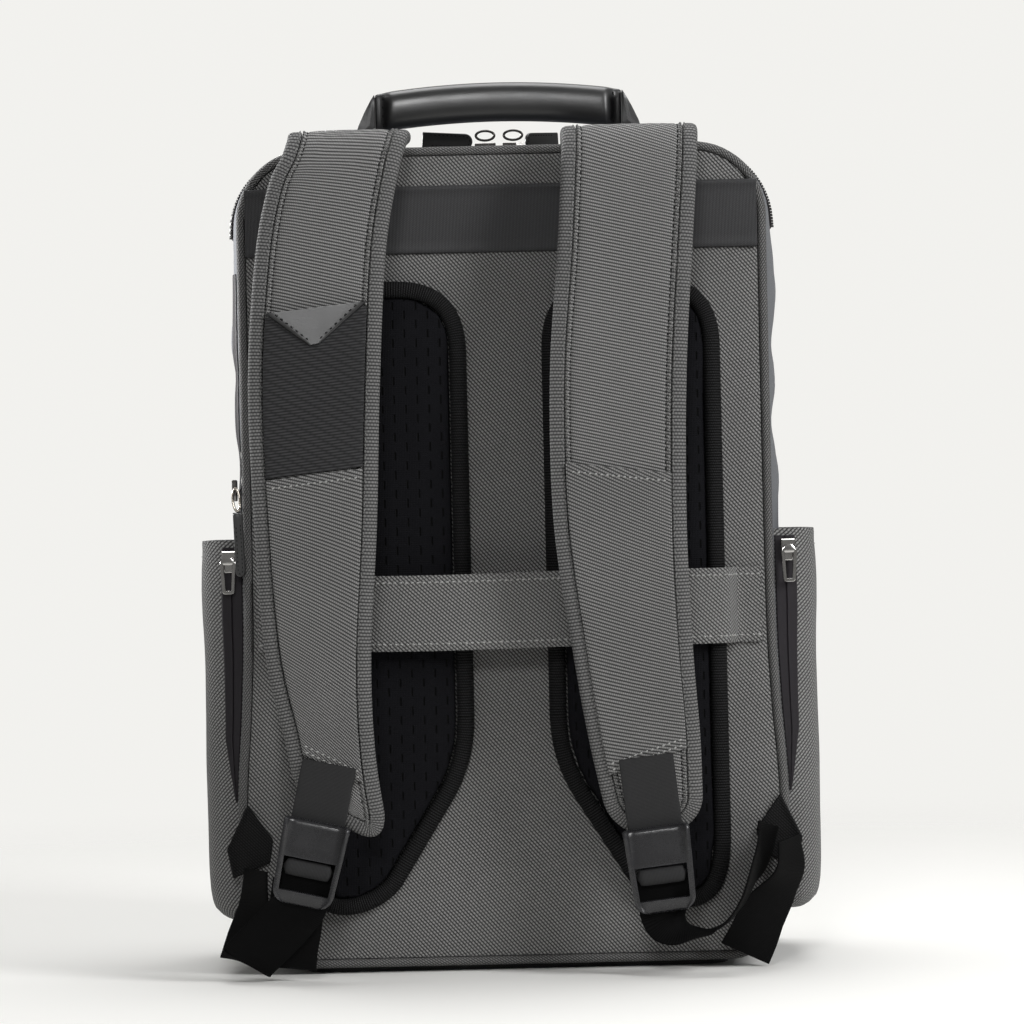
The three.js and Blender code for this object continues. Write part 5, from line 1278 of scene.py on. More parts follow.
def make_strap_pocket(strap, pitch):
    """The ribbed pocket on the left strap, and its stitched leather tab."""
    slant = STRAP_SLANTS[strap.side][0]
    slants = (slant, slant)
    panel = strap_layer(
        strap, STRAP_POCKET_HIGH, STRAP_POCKET_LOW, STRAP_FACE, STRAP_COVER, slants)
    piece("strap_pocket_cloth", panel, "ribbed", ["strap_pocket_panel"], sharp=50)
    tip = LEATHER_TAB_HIGH - LEATHER_TAB_TALL
    lift = STRAP_FACE + STRAP_COVER + CLEAR

    def spans(share):
        return LEATHER_TAB_NARROW * share, 1 - LEATHER_TAB_NARROW * share

    tab = strap_layer(
        strap, LEATHER_TAB_HIGH, tip, lift, LEATHER, slants, spans, 30, edge_drop=0.75)
    piece("strap_leather_tab", tab, "leather", ["leather_tab"], sharp=50)
    seams = Shape()
    s = np.linspace(strap.along_at(LEATHER_TAB_HIGH) + 1.5, strap.along_at(tip) - 1.2, 24)
    for edge in (0, 1):
        share = (s - s[0]) / (s[-1] - s[0])
        inner, outer = strap.width_at(s)
        reach = lerp(0.09, 0.455, share)
        x = lerp(inner, outer, reach if edge == 0 else 1 - reach)
        row = s - 0.9 + slant * (2 * (x - inner) / (outer - inner) - 1)
        path = strap.place(x, row, lift + LEATHER + 0.05)
        stitches(seams, path, strap.out(row), pitch * 0.62, pitch * 0.35, 0.85)
    piece("strap_tab_stitches", seams, "dark_thread")


# Webbing and buckles

def buckle_place(strap):
    """Where a ladder buckle lies: its middle, its upward direction and its direction to the right."""
    across, drop, turn = BUCKLES[strap.side]
    tip = strap.place(0.0, strap.total, STRAP_FACE + STRAP_COVER + 2 * CLEAR + WEBBING)
    row = STRAP_ROWS[strap.side][-1]
    x = strap.sign * HALF * lerp(row[2], row[3], across)
    turn = math.radians(turn)
    at = np.array([x, tip[1] - CLEAR - BUCKLE_THICK / 2, STRAP_TIP - drop * BUCKLE_HEIGHT])
    return at, np.array([math.sin(turn), 0, math.cos(turn)]), np.array([math.cos(turn), 0, -math.sin(turn)])


def make_buckle(strap, seat):
    """A ladder buckle: a plate with raised side rails, and a window with a bar in the webbing's fold."""
    at, up, right = seat
    half = BUCKLE_HEIGHT / 2
    rows = np.array([
        -half, -half + 0.5, -half + 1.4, -half + 2.8, -half + 4.6, -half + 6.6, -half + 7.2, -12, -7, -3, 1,
        2.4, 3, 6, 10, half - 8, half - 4, half - 2, half - 1, half - 0.4, half])
    window = (6, 11)
    columns = np.array([
        -1, -0.985, -0.95, -0.9, -0.85, -0.82, -0.6, -0.3, 0, 0.3, 0.6, 0.82, 0.85, 0.9, 0.95, 0.985, 1])
    gap = (5, 11)
    round_low, round_high = 8.0, 1.5
    front, back = np.zeros((len(rows), len(columns), 3)), np.zeros((len(rows), len(columns), 3))
    for i, z in enumerate(rows):
        wide = lerp(BUCKLE_FOOT, BUCKLE_WIDTH, (z + half) / BUCKLE_HEIGHT) / 2
        into = max(0.0, round_low - (z + half))
        wide -= round_low - math.sqrt(max(round_low ** 2 - into ** 2, 0.0)) if into else 0
        into = max(0.0, round_high - (half - z))
        wide -= round_high - math.sqrt(max(round_high ** 2 - into ** 2, 0.0)) if into else 0
        end = min(1.0, (half - abs(z)) / 1.4)
        for k, c in enumerate(columns):
            rail = eased((abs(c) - 0.8) / 0.1) * (1 - eased((abs(c) - 0.93) / 0.1) * 0.8)
            plate = 6.3 - 1.5 * eased((z - 2) / 20) * (1 - 0.2 * c * c)
            if z < -half + 7.5:
                plate = 6.4 - 1.2 * eased((-half + 5 - z) / 5)
            height = lerp(plate, BUCKLE_THICK, rail) * (0.42 + 0.58 * math.sqrt(end))
            height = min(height, BUCKLE_THICK)
            spot = at + right * c * wide + up * z
            front[i, k] = spot + np.array([0, BUCKLE_THICK / 2 - height, 0])
            back[i, k] = spot + np.array([0, BUCKLE_THICK / 2, 0])
    width = len(columns)
    total = front.shape[0] * width

    def number(i, k, rear):
        return i * width + k + rear * total

    def inside(i, k):
        return window[0] <= i < window[1] and gap[0] <= k < gap[1]

    faces = []
    for i in range(len(rows) - 1):
        for k in range(width - 1):
            if inside(i, k):
                continue
            for rear in (0, 1):
                quad = [
                    number(i, k, rear), number(i, k + 1, rear), number(i + 1, k + 1, rear),
                    number(i + 1, k, rear)]
                faces.append(quad if rear == 0 else quad[::-1])
            for di, dk, a, b in ((-1, 0, (i, k), (i, k + 1)), (1, 0, (i + 1, k), (i + 1, k + 1)),
                                 (0, -1, (i, k), (i + 1, k)), (0, 1, (i, k + 1), (i + 1, k + 1))):
                ni, nk = i + di, k + dk
                open_side = not (0 <= ni < len(rows) - 1 and 0 <= nk < width - 1) or inside(ni, nk)
                if open_side:
                    faces.append([number(*a, 0), number(*b, 0), number(*b, 1), number(*a, 1)])
    points = np.concatenate([front.reshape(-1, 3), back.reshape(-1, 3)])
    cloth = [(points[q][0], points[q][2]) for face in faces for q in face]
    shape = Shape().add(points, faces, cloth)
    made = piece(
        f"buckle_{strap.side}", shape, "plastic",
        [f"ladder_buckle_{strap.side}"], sharp=50)
    tidy = bmesh.new()
    tidy.from_mesh(made.data)
    bmesh.ops.delete(tidy, geom=[v for v in tidy.verts if not v.link_faces], context="VERTS")
    tidy.to_mesh(made.data)
    tidy.free()
    bar = Shape()
    angles = np.linspace(0, 2 * math.pi, 24, endpoint=False)
    spans = np.linspace(-1, 1, 15)
    rings = []
    for t in spans:
        end = (1 - abs(t) ** 14) ** 0.5 if abs(t) < 1 else 0.15
        centre = at + right * t * 13.7 - up * 3.1
        rings.append([
            centre + up * math.cos(a) * 4.7 * max(end, 0.15)
            + np.array([0, 1, 0]) * (math.sin(a) * 2.9 * max(end, 0.15) + 0.2) for a in angles])
    around = np.linspace(0, 26, 25)
    bar.skin(rings, spans * 13.7, around)
    piece(f"buckle_bar_wrap_{strap.side}", bar, "webbing", sharp=60)


def make_strap_webbing(strap, seat):
    """The webbing from under a strap's face down behind its buckle."""
    at, up, right = seat
    lift = STRAP_FACE + STRAP_COVER + 2 * CLEAR + WEBBING / 2
    start = strap.along_at(STRAP_WEBBING_TOP)
    head = at + up * BUCKLE_HEIGHT / 2
    behind = at[1] + BUCKLE_THICK / 2 + CLEAR + WEBBING / 2
    top = strap.place(0.0, start, lift)
    reach = top[2] - head[2]
    top[0] = head[0] + up[0] / up[2] * reach
    end = head - up * BUCKLE_HEIGHT * 0.3
    line = np.array([
        top, (lerp(top[0], head[0], 0.5), lerp(top[1], behind, 0.5), lerp(top[2], head[2], 0.5)),
        (head[0], behind, head[2]), (end[0], behind, end[2])])
    rings, along, around, _ = ribbon(resampled(line, 30), right, WEBBING_WIDTH, WEBBING, WEBBING_HEM)
    shape = Shape().skin(rings, along, around)
    piece(
        f"buckle_webbing_{strap.side}", shape, "webbing",
        [f"strap_webbing_{strap.side}"])


def make_webbing_run(strap, seat, kind):
    """Webbing from a buckle to its wing tab, or a free end."""
    name = f"{kind}_{strap.side}"
    at, up, _ = seat
    sign = strap.sign
    wing = np.array([
        sign * HALF * 0.97, BACK - 2 * CLEAR - WING_CLOTH - WEBBING / 2, lerp(WING_LOW, WING_TOP, 0.4)])
    foot = at - up * BUCKLE_HEIGHT / 2
    depth = at[1] + BUCKLE_THICK / 2
    rows = smooth_rows(WEBBING_RUNS[name], 8)
    to, deep, high, turn, dip = rows.T
    turn, dip = np.radians(turn), np.radians(dip)
    middle = np.stack([
        lerp(foot[0], wing[0], to), lerp(depth, wing[1], deep) - WEBBING_WIDTH / 2 * np.sin(turn),
        foot[2] * high], axis=1)
    wide = np.stack([
        np.cos(turn * sign) * np.cos(dip), np.sin(turn * sign) * np.cos(dip), np.sin(dip)], axis=1)
    rings, along, around, _ = ribbon(middle, wide, WEBBING_WIDTH, WEBBING, WEBBING_HEM)
    shape = Shape().skin(rings, along, around)
    # Runs and tails take the webbing darkened as painted shade
    piece(f"{kind}_cloth_{strap.side}", shape, "webbing_painted_shade", [name])


def make_wing_tab(side, sign):
    """A folded tab sewn into the side seam, with rolled edges."""
    seam = HALF * float(flare(WING_TOP))
    mid = lerp(WING_LOW, WING_TOP, 0.4)
    table = (
        (-0.19, WING_TOP), (0.27, mid), (0.15, WING_LOW), (-0.65, lerp(WING_LOW, mid, 0.5)),
        (-0.73, lerp(WING_LOW, mid, 1.3)))
    corners = np.array([(sign * (seam + reach * WING_REACH), z) for reach, z in table])
    loop = resampled(np.concatenate([corners, corners[:1]]), 81)[:-1]
    centre = corners.mean(axis=0)
    rings = []
    for share, out in (
        (1, 0.1), (1, 0.5), (0.985, 0.85), (0.95, 1), (0.88, 1), (0.82, 0.72), (0.5, 0.8), (0.15, 0.84),
    ):
        rings.append([(p[0], BACK - CLEAR - out * WING_CLOTH, p[1]) for p in lerp(centre, loop, share)])
    rings.insert(0, [(p[0], BACK - CLEAR, p[1]) for p in lerp(centre, loop, 0.98)])
    shape = Shape().skin(rings, np.arange(len(rings)), lengths(np.concatenate([loop, loop[:1]])))
    piece(
        f"wing_tab_cloth_{side}", shape, "wing", [f"wing_tab_{side}"], sharp=50)


# Side pockets

def pocket_level(z):
    """How far out a pocket stands at a height, and how far in its rear and front seams lie."""
    table = smooth_rows(POCKET_LEVELS, 4)
    up = (z - POCKET_LOW) / (POCKET_HIGH - POCKET_LOW)
    return [float(np.interp(up, table[:, 0], table[:, k])) for k in (1, 2, 3)]


def pocket_points(sign, z, inset=0.0):
    """The pocket's wall at one height, from its rear seam round to its front seam."""
    out, back, front = pocket_level(z)
    half = HALF * float(flare(z))
    start = POCKET_REAR + back * POCKET_LENGTH + inset
    end = POCKET_REAR + (1 - front) * POCKET_LENGTH - inset
    section = resampled(smooth_rows(np.array(POCKET_SECTION) * (POCKET_LENGTH, POCKET_OUT), 6), 60)
    along, away = section[:, 0] / POCKET_LENGTH, section[:, 1] / POCKET_OUT
    reach = away * (out * POCKET_OUT - inset)
    side = "left" if sign < 0 else "right"
    ys = lerp(start, end, along)
    fold = float(fold_at(z, side))
    share = np.clip((ys - GUSSET_BACK) / (GUSSET_FRONT - GUSSET_BACK), 0, 1)
    body = SIDE_BULGE * fold * np.sin(math.pi * share) ** 0.8 + CLEAR
    reach = np.maximum(reach, body)
    return np.stack([sign * (half + reach), ys, np.full(len(ys), float(z))], axis=1)


def make_pocket(side, sign, pitch):
    """A side pocket of twill, lined and open at its top, with a hem and its stitches."""
    heights = np.concatenate([[POCKET_LOW + 0.2], np.linspace(POCKET_LOW + 1, POCKET_LOW + 20, 10),
                              np.linspace(POCKET_LOW + 26, POCKET_HIGH - 8, 44),
                              [POCKET_HIGH - 5, POCKET_HIGH - 2.4, POCKET_HIGH - 0.8, POCKET_HIGH]])
    outer, inner = [], []
    for z in heights:
        hem = 0.5 * math.exp(-((POCKET_HIGH - 1.5 - z) / 3.5) ** 2)
        wall = pocket_points(sign, z)
        wrinkle = 0.35 * np.sin(z / 14 + wall[:, 1] / 23) * np.sin(math.pi * np.linspace(0, 1, len(wall)))
        wall[:, 0] += sign * (wrinkle - 0.4 + hem - 0.3)
        outer.append(wall)
        lining = pocket_points(sign, max(z, POCKET_LOW + CLOTH), CLOTH)
        lining[:, 0] += sign * (wrinkle - 0.4)
        lining[:, 2] = max(z, POCKET_LOW + CLOTH) if z < POCKET_HIGH - 0.5 else z - 0.3
        inner.append(lining)
    floor_out = outer[0].copy()
    seam = HALF * float(flare(POCKET_LOW)) + CLEAR
    floor_out[:, 0] = sign * seam
    floor_in = inner[0].copy()
    floor_in[:, 0] = sign * seam
    top = np.array([floor_out] + outer)
    under = np.array([floor_in] + inner)
    run = np.concatenate([[0], heights - heights[0] + 10])
    across = lengths(outer[20])
    shape = Shape().slab(top, under, run, -sign * across)
    piece(f"pocket_cloth_{side}", shape, "twill", [f"pocket_{side}"], sharp=50)
    seams = Shape()
    wall = pocket_points(sign, POCKET_HIGH - 9)[12:]
    path = wall - np.array([sign * 0.5, 0, 0])
    out = np.stack([np.full(len(wall), sign), np.linspace(-0.8, 0.4, len(wall)), np.zeros(len(wall))], axis=1)
    stitches(seams, path, out, pitch * 0.6, pitch * 0.45, 0.75)
    piece(f"pocket_hem_stitches_{side}", seams, "thread")


def pocket_rear(sign, z, share, lift):
    """A point of the pocket's rear face beside its zip, before it turns the corner."""
    out, back, _ = pocket_level(z)
    half = HALF * float(flare(z))
    y = POCKET_REAR + back * POCKET_LENGTH + 0.02 * share * POCKET_LENGTH - lift
    return np.array([sign * (half + share * 0.5 * out * POCKET_OUT), y, z])


def make_pocket_zip(side, sign):
    """The tape of a pocket's zip, narrowing to a point below, with its closed seam down the middle."""
    heights = np.linspace(POCKET_TAPE_TOP, POCKET_TAPE_END, 50)
    down = (POCKET_TAPE_TOP - heights) / (POCKET_TAPE_TOP - POCKET_TAPE_END)
    reach = np.interp(down, [0, 0.3, 0.75, 1], [1, 1, 0.85, 0.2])
    spread = np.array([0, 0.05, 0.2, 0.38, 0.455, 0.475, 0.5, 0.525, 0.545, 0.62, 0.8, 0.95, 1])
    raised = np.array([0.2, 0.8, 0.85, 0.9, 1, 0.75, 0.2, 0.75, 1, 0.9, 0.85, 0.8, 0.2])
    top, under = [], []
    for z, r in zip(heights, reach):
        shares = lerp(0.08, r, spread)
        top.append([pocket_rear(sign, z, s, CLEAR + 1.0 * h) for s, h in zip(shares, raised)])
        under.append([pocket_rear(sign, z, s, CLEAR) for s in shares])
    shape = Shape().slab(np.array(top), np.array(under), POCKET_TAPE_TOP - heights, spread * 13)
    piece(f"pocket_zip_tape_{side}", shape, "tape", [f"pocket_zip_{side}"])


# Zips

def strip_points(table, depths, off):
    """Points of a strip that follows the gusset, a row for each corner of the outline."""
    return np.stack([gusset_points(table, y, off) for y in depths], axis=1)


def make_main_zip():
    """The two-way zip over the bag's top: its tape and its coil of teeth."""
    table = OUTLINE[OUTLINE[:, 1] >= ZIP_END]
    half = ZIP_TAPE_WIDTH / 2
    spread = np.array([-1, -0.97, -0.9, -0.6, -0.32, -0.28, 0, 0.28, 0.32, 0.6, 0.9, 0.97, 1])
    depths = ZIP_LINE + spread * half
    top = strip_points(table, depths, CLEAR + ZIP_TAPE)
    under = strip_points(table, depths, CLEAR)
    along = lengths(table[:, :2])
    shape = Shape().slab(top, under, along, spread * half)
    piece("main_zip_cloth", shape, "tape", ["main_zip_tape"])
    coil_half = ZIP_COIL_WIDTH / 2
    lift = 2 * CLEAR + ZIP_TAPE
    teeth = Shape()
    count = int(along[-1] / ZIP_TOOTH)
    at = np.linspace(0.8, along[-1] - 0.8, count)
    for n, place in enumerate(at):
        row = np.array([
            [np.interp(place + step, along, table[:, k]) for k in range(4)] for step in (-0.5, 0, 0.5)])
        row[:, 2:] = unit(row[:, 2:])
        shift = 0.5 if n % 2 else -0.5
        ys = ZIP_LINE + np.array([
            -coil_half + shift, -0.6 * coil_half, 0.6 * coil_half, coil_half + shift * 0.9])
        ys = np.clip(ys, ZIP_LINE - coil_half, ZIP_LINE + coil_half)
        rings = []
        for y, thin in zip(ys, (0.55, 1, 1, 0.55)):
            low = gusset_points(row, y, lift)
            high = gusset_points(row, y, lift + ZIP_COIL * thin)
            rings.append([low[0], low[2], high[2], high[1], high[0]])
        teeth.skin(rings, ys, np.arange(6))
    piece("main_zip_teeth", teeth, "coil", ["main_zip_coil"], sharp=30)


def make_side_zip():
    """The tape of the zip in the left side seam."""
    _, z, nx, _ = OUTLINE.T
    table = OUTLINE[(nx < -0.99) & (z > SIDE_ZIP_LOW) & (z < SIDE_ZIP_HIGH)]
    half = SIDE_ZIP_WIDTH / 2
    spread = np.array([-1, -0.9, -0.5, -0.12, -0.06, 0, 0.06, 0.12, 0.5, 0.9, 1])
    raised = np.array([0.3, 0.85, 0.85, 1, 0.8, 0.2, 0.8, 1, 0.85, 0.85, 0.3])
    top = np.stack([
        gusset_points(table, SIDE_ZIP_LINE + s * half, CLEAR + ZIP_TAPE * h)
        for s, h in zip(spread, raised)], axis=1)
    under = strip_points(table, SIDE_ZIP_LINE + spread * half, CLEAR)
    shape = Shape().slab(top, under, lengths(table[:, :2]), spread * half)
    piece("side_zip_cloth", shape, "tape", ["side_zip_tape"])


def node_spots(name):
    """A CAD node's corners in millimetres."""
    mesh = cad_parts[name].data
    spots = np.zeros(len(mesh.vertices) * 3)
    mesh.vertices.foreach_get("co", spots)
    return spots.reshape(-1, 3) / MM


def refinish(node, finish):
    """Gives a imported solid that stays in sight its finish."""
    node.data.materials.clear()
    node.data.materials.append(finishes()[finish])


def dress_metal():
    """Gives the zip sliders, which stay as they are packed, a finish and a small bevel."""
    for name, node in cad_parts.items():
        if "slider" in name:
            refinish(node, "metal" if "pocket" in name else "gunmetal")
            edges = node.modifiers.new("rounded edges", "BEVEL")
            edges.width = SLIDER_BEVEL * MM
            edges.segments = 2


def make_ring(name, node, finish):
    """A wire ring in the plane and size of the plain one."""
    centre, (long, short, normal), spots = node_frame(node)
    reach = [np.ptp((spots - centre) @ axis) / 2 for axis in (long, short, normal)]
    wire = reach[2]
    shape = Shape()
    rings = []
    for a in np.linspace(0, 2 * math.pi, 48, endpoint=False):
        out = long * math.cos(a) * (reach[0] - wire) + short * math.sin(a) * (reach[1] - wire)
        ahead = unit(-long * math.sin(a) * (reach[0] - wire) + short * math.cos(a) * (reach[1] - wire))
        side = np.cross(ahead, normal)
        rings.append([
            centre + out + (side * math.cos(b) + normal * math.sin(b)) * wire
            for b in np.linspace(0, 2 * math.pi, 12, endpoint=False)])
    shape.skin(rings, np.arange(49), np.arange(13), joined=True)
    piece(name, shape, finish, [node], sharp=60)


def node_frame(name):
    """The middle of a plain piece, its longest, shorter and shortest directions, and its corners."""
    spots = node_spots(name)
    centre = (spots.max(axis=0) + spots.min(axis=0)) / 2
    _, _, axes = np.linalg.svd(spots - spots.mean(axis=0), full_matrices=False)
    return centre, axes, spots


def pull_loop(length, width, count=60):
    """Outline of a pull about its middle, with its square end at +X."""
    half = width / 2
    turn = np.linspace(math.pi / 2, 1.5 * math.pi, 16)
    end = np.stack([-length / 2 + half + half * np.cos(turn), half * np.sin(turn)], axis=1)
    square = length / 2
    points = np.concatenate([[(square, 0), (square, half)], end, [(square, -half), (square, 0)]])
    return resampled(points, count + 1)[:-1]


def make_leather_pull(name, node, length, width, thick, pitch):
    """A leather zip pull with one round end, rolled edges and a line of stitches."""
    centre, (long, short, normal), spots = node_frame(node)
    along = (spots - centre) @ long
    square = along > along.max() - 0.2
    if np.ptp(((spots - centre) @ short)[square]) < width * 0.8:
        long = -long
    loop = pull_loop(length, width)
    rings = []
    for inset, lift in (
        (1.8, -0.42), (0.5, -0.5), (0.12, -0.4), (0, -0.15), (0, 0.15), (0.12, 0.4), (0.5, 0.5), (1.3, 0.42),
        (1.8, 0.46),
    ):
        flat = loop * (1 - 2 * inset / length, 1 - 2 * inset / width)
        rings.append(centre + flat[:, :1] * long + flat[:, 1:] * short + normal * lift * thick)
    shape = Shape().skin(rings, np.arange(len(rings)), np.arange(len(loop) + 1))
    piece(name, shape, "leather", [node], sharp=60)
    seams = Shape()
    line = loop[6:-6] * (1 - 3 / length, 1 - 3 / width)
    for face in (-1, 1):
        path = centre + line[:, :1] * long + line[:, 1:] * short + normal * face * 0.5 * thick
        stitches(seams, path, normal * face, pitch * 0.4, pitch * 0.3, 0.5)
    piece(f"{name}_stitches", seams, "dark_thread")


def make_metal_pull(side):
    """A flat metal pull with a rounded window, hung from its eye."""
    node = f"pocket_pull_{side}"
    spots = node_spots(node)
    top, low = spots[:, 2].max(), spots[:, 2].min()
    head = spots[spots[:, 2] > top - 0.5]
    centre = (spots.max(axis=0) + spots.min(axis=0)) / 2
    _, _, axes = np.linalg.svd(head - head.mean(axis=0), full_matrices=False)
    right = axes[0]
    right = right * np.sign(right[0])
    out = np.cross(np.array([0, 0, 1.0]), right)
    out = out * -np.sign(out[1])
    wide = np.ptp(head @ right) / 2
    foot = wide * 0.7
    tall = top - low
    frame_line = np.array([
        (-foot + 1, -tall), (foot - 1, -tall), (foot, -tall + 1), (wide - 0.4, -3.4), (wide - 1.8, -1.2),
        (1.6, 0), (-1.6, 0), (-wide + 1.8, -1.2), (-wide + 0.4, -3.4), (-foot, -tall + 1),
        (-foot + 1, -tall)])
    loop = resampled(frame_line, 81)[:-1]
    loop = (np.roll(loop, 1, 0) + 2 * loop + np.roll(loop, -1, 0)) / 4
    inner = inset_loop(loop, 2.0)
    inner[:, 1] = np.minimum(inner[:, 1], -4.6)
    rings = []
    depth = np.ptp((spots - centre) @ out) / 2
    eye = np.array([centre[0], centre[1], top])
    section = (
        (0, -0.6), (0.15, -1), (0.85, -1), (1, -0.6), (1, 0.6), (0.85, 1), (0.15, 1), (0, 0.6))
    for a, b in zip(loop, inner):
        ring = []
        for share, lift in section:
            p = lerp(a, b, share)
            ring.append(eye + right * p[0] + np.array([0, 0, p[1]]) + out * lift * depth)
        rings.append(ring)
    shape = Shape().skin(rings, np.arange(81), np.arange(9), joined=True)
    piece(f"pocket_zip_pull_{side}", shape, "metal", [node], sharp=40)


# Handle

def make_handle(pitch):
    """The padded leather grip, sewn flat at both ends, and the leather tabs that carry it."""
    spans = np.concatenate([np.linspace(-1, -0.86, 9), np.linspace(-0.83, 0.83, 50), np.linspace(0.86, 1, 9)])
    sides = 28
    rings = []
    for t in spans:
        flat = eased((abs(t) - 0.86) / 0.1)
        tall = GRIP_HEIGHT / 2 * lerp(1.0, 0.97, flat)
        thick = lerp(GRIP_THICK / 2, 2.3, flat)
        if abs(t) > 0.995:
            tall, thick = tall - 0.5, thick - 0.5
        ring = []
        for k in range(sides):
            angle = 2 * math.pi * (k + 0.5) / sides
            c, s = math.cos(angle), math.sin(angle)
            c = math.copysign(abs(c) ** 0.8, c)
            s = math.copysign(abs(s) ** 0.85, s)
            ring.append((
                t * GRIP_LENGTH / 2, GRIP_LINE + thick * c, GRIP_MIDDLE - GRIP_ARCH * t * t + tall * s))
        rings.append(ring)
    rings = np.array(rings)
    around = lengths(np.concatenate([rings[30], rings[30][:1]]))
    shape = Shape().skin(rings, spans * GRIP_LENGTH / 2, around)
    grip = piece("leather_grip", shape, "leather", ["handle_grip"], sharp=70)
    seams = Shape()
    for sign in (-1, 1):
        x = sign * (GRIP_LENGTH / 2 - 4.5)
        z = GRIP_MIDDLE - GRIP_ARCH * 0.88 + np.linspace(-GRIP_HEIGHT / 2 + 1, GRIP_HEIGHT / 2 - 1, 12)
        for face in (-1, 1):
            y = GRIP_LINE + face * (2.45 + 0.35 * np.cos(np.linspace(-1.4, 1.4, 12)))
            path = np.stack([np.full(12, x), y, z], axis=1)
            stitches(seams, path, np.array([0, face, 0]), pitch * 0.75, pitch * 0.45, 1.0)
    piece("grip_stitches", seams, "dark_thread")
    seat = HIGH + TOP_CROWN * math.sin(
        math.pi * (GRIP_LINE - GUSSET_BACK) / (GUSSET_FRONT - GUSSET_BACK)) ** 0.8 + CLEAR + LEATHER / 2
    end = GRIP_MIDDLE - GRIP_ARCH
    x = GRIP_LENGTH / 2 + CLEAR
    outer = resampled(np.array([
        (x, end + 9.5), (x + 2, end + 6.5), (x + 5.5, end), (x + 9, end - 7.5), (x + 12, seat + 3.2),
        (x + 15, seat + LEATHER / 2), (x + 24, seat + LEATHER / 2)]), 40)
    inner = resampled(np.array([
        (x, end + 9), (x, end - 9), (x + 5, end - 12), (x + 10, seat + 1.5), (x + 13, seat - LEATHER / 2),
        (x + 24, seat - LEATHER / 2)]), 40)
    spread = np.array([-1, -0.985, -0.95, -0.85, -0.5, 0, 0.5, 0.85, 0.95, 0.985, 1])
    pinch = np.clip((1 - np.abs(spread)) / 0.05, 0.3, 1)
    for side, sign in SIDES:
        top, under = [], []
        for a, b in zip(outer, inner):
            middle = lerp(a, b, 0.5)
            for rows, edge in ((top, a), (under, b)):
                line = lerp(middle, edge, pinch[:, None])
                rows.append(np.stack([
                    sign * line[:, 0], GRIP_LINE + spread * HANDLE_TAB_WIDTH / 2, line[:, 1]], axis=1))
        tab = Shape().slab(np.array(top), np.array(under), lengths(outer), spread * HANDLE_TAB_WIDTH / 2)
        piece(f"leather_tab_{side}", tab, "leather", [f"handle_tab_{side}"])


# Stage

def add_light(name, place, target, size, power, spread):
    """A rectangular light that points at a target."""
    lamp = bpy.data.lights.new(name, "AREA")
    lamp.shape = "RECTANGLE"
    lamp.size, lamp.size_y = size
    lamp.energy = power
    lamp.spread = math.radians(spread)
    made = bpy.data.objects.new(name, lamp)
    made.location = place
    made.rotation_euler = (Vector(target) - Vector(place)).to_track_quat("-Z", "Y").to_euler()
    bpy.context.scene.collection.objects.link(made)


def fade_effect():
    """1 round the middle of the floor, falling to 0 further out."""
    wires, given, result = effect(
        "Fading edge", (("Near", "NodeSocketFloat", 0.3), ("Far", "NodeSocketFloat", 1.3)), ("Mask",))
    place = wires.node("ShaderNodeTexCoord").outputs["Object"]
    away = wires.node("ShaderNodeVectorMath", {0: place}, operation="LENGTH").outputs["Value"]
    span = wires.math("SUBTRACT", given["Far"], given["Near"])
    share = wires.math("DIVIDE", wires.math("SUBTRACT", given["Far"], away), span, clamp=True)
    smooth = wires.math("MULTIPLY", wires.math("MULTIPLY", share, share),
                        wires.math("MULTIPLY_ADD", share, -2.0, 3.0))
    wires.put(result["Mask"], smooth)
    return wires.tree


def make_floor():
    """A pale floor that melts into the backdrop."""
    mesh = bpy.data.meshes.new("studio_floor")
    corners = [(x * FLOOR_REACH, y * FLOOR_REACH, 0) for x, y in ((-1, -1), (1, -1), (1, 1), (-1, 1))]
    mesh.from_pydata(corners, [], [(0, 1, 2, 3)])
    finish = Finish("Studio floor", Roughness=0.9, Specular_IOR_Level=0.1)
    tone = finish.effect(tone_effect, Patches=2.0, Flecks=60.0, Patch_Depth=0.1, Fleck_Depth=0.05)
    finish.colour(finish.mix(tone["Tone"], (0.9, 0.895, 0.873, 1), (0.93, 0.925, 0.902, 1)))
    finish.put(finish.shader.inputs["Alpha"], finish.effect(fade_effect)["Mask"])
    mesh.materials.append(finish.material)
    made = bpy.data.objects.new("studio_floor", mesh)
    bpy.context.scene.collection.objects.link(made)


def make_world(ambient):
    """An even pale backdrop, which lights the bag less than it shows."""
    world = bpy.data.worlds.new("studio")
    world.use_nodes = True
    wires = Wires(world.node_tree)
    sky = world.node_tree.nodes["Background"]
    seen = wires.node("ShaderNodeLightPath").outputs["Is Camera Ray"]
    wires.put(sky.inputs["Color"], BACKDROP)
    wires.put(sky.inputs["Strength"], wires.math("MULTIPLY_ADD", seen, 1.0 - ambient, ambient))
    bpy.context.scene.world = world


def make_camera():
    """The photograph's view: level, straight on to the back panel, and turned a little about its axis."""
    lens = bpy.data.cameras.new("camera")
    lens.lens = LENS
    lens.clip_start, lens.clip_end = 0.1, 100
    made = bpy.data.objects.new("camera", lens)
    made.location = (CAMERA_ACROSS * MM, (BACK - CAMERA_AWAY) * MM, CAMERA_HEIGHT * MM)
    made.rotation_euler = (math.radians(90), PHOTO_TURN, 0)
    bpy.context.scene.collection.objects.link(made)
    bpy.context.scene.camera = made


# The add-on

class ClothSettings(bpy.types.PropertyGroup):
    twill_pitch: FloatProperty(
        name="Twill pitch", description="Distance between the twill's diagonal lines, in millimetres",
        default=1.68, min=0.8, max=4)
    fold_depth: FloatProperty(
        name="Crease depth", description="How deep the creases of the sides are, in millimetres",
        default=1.4, min=0, max=3)
    stitch_pitch: FloatProperty(
        name="Stitch pitch", description="Distance from one stitch to the next, in millimetres",
        default=3.2, min=2, max=6)


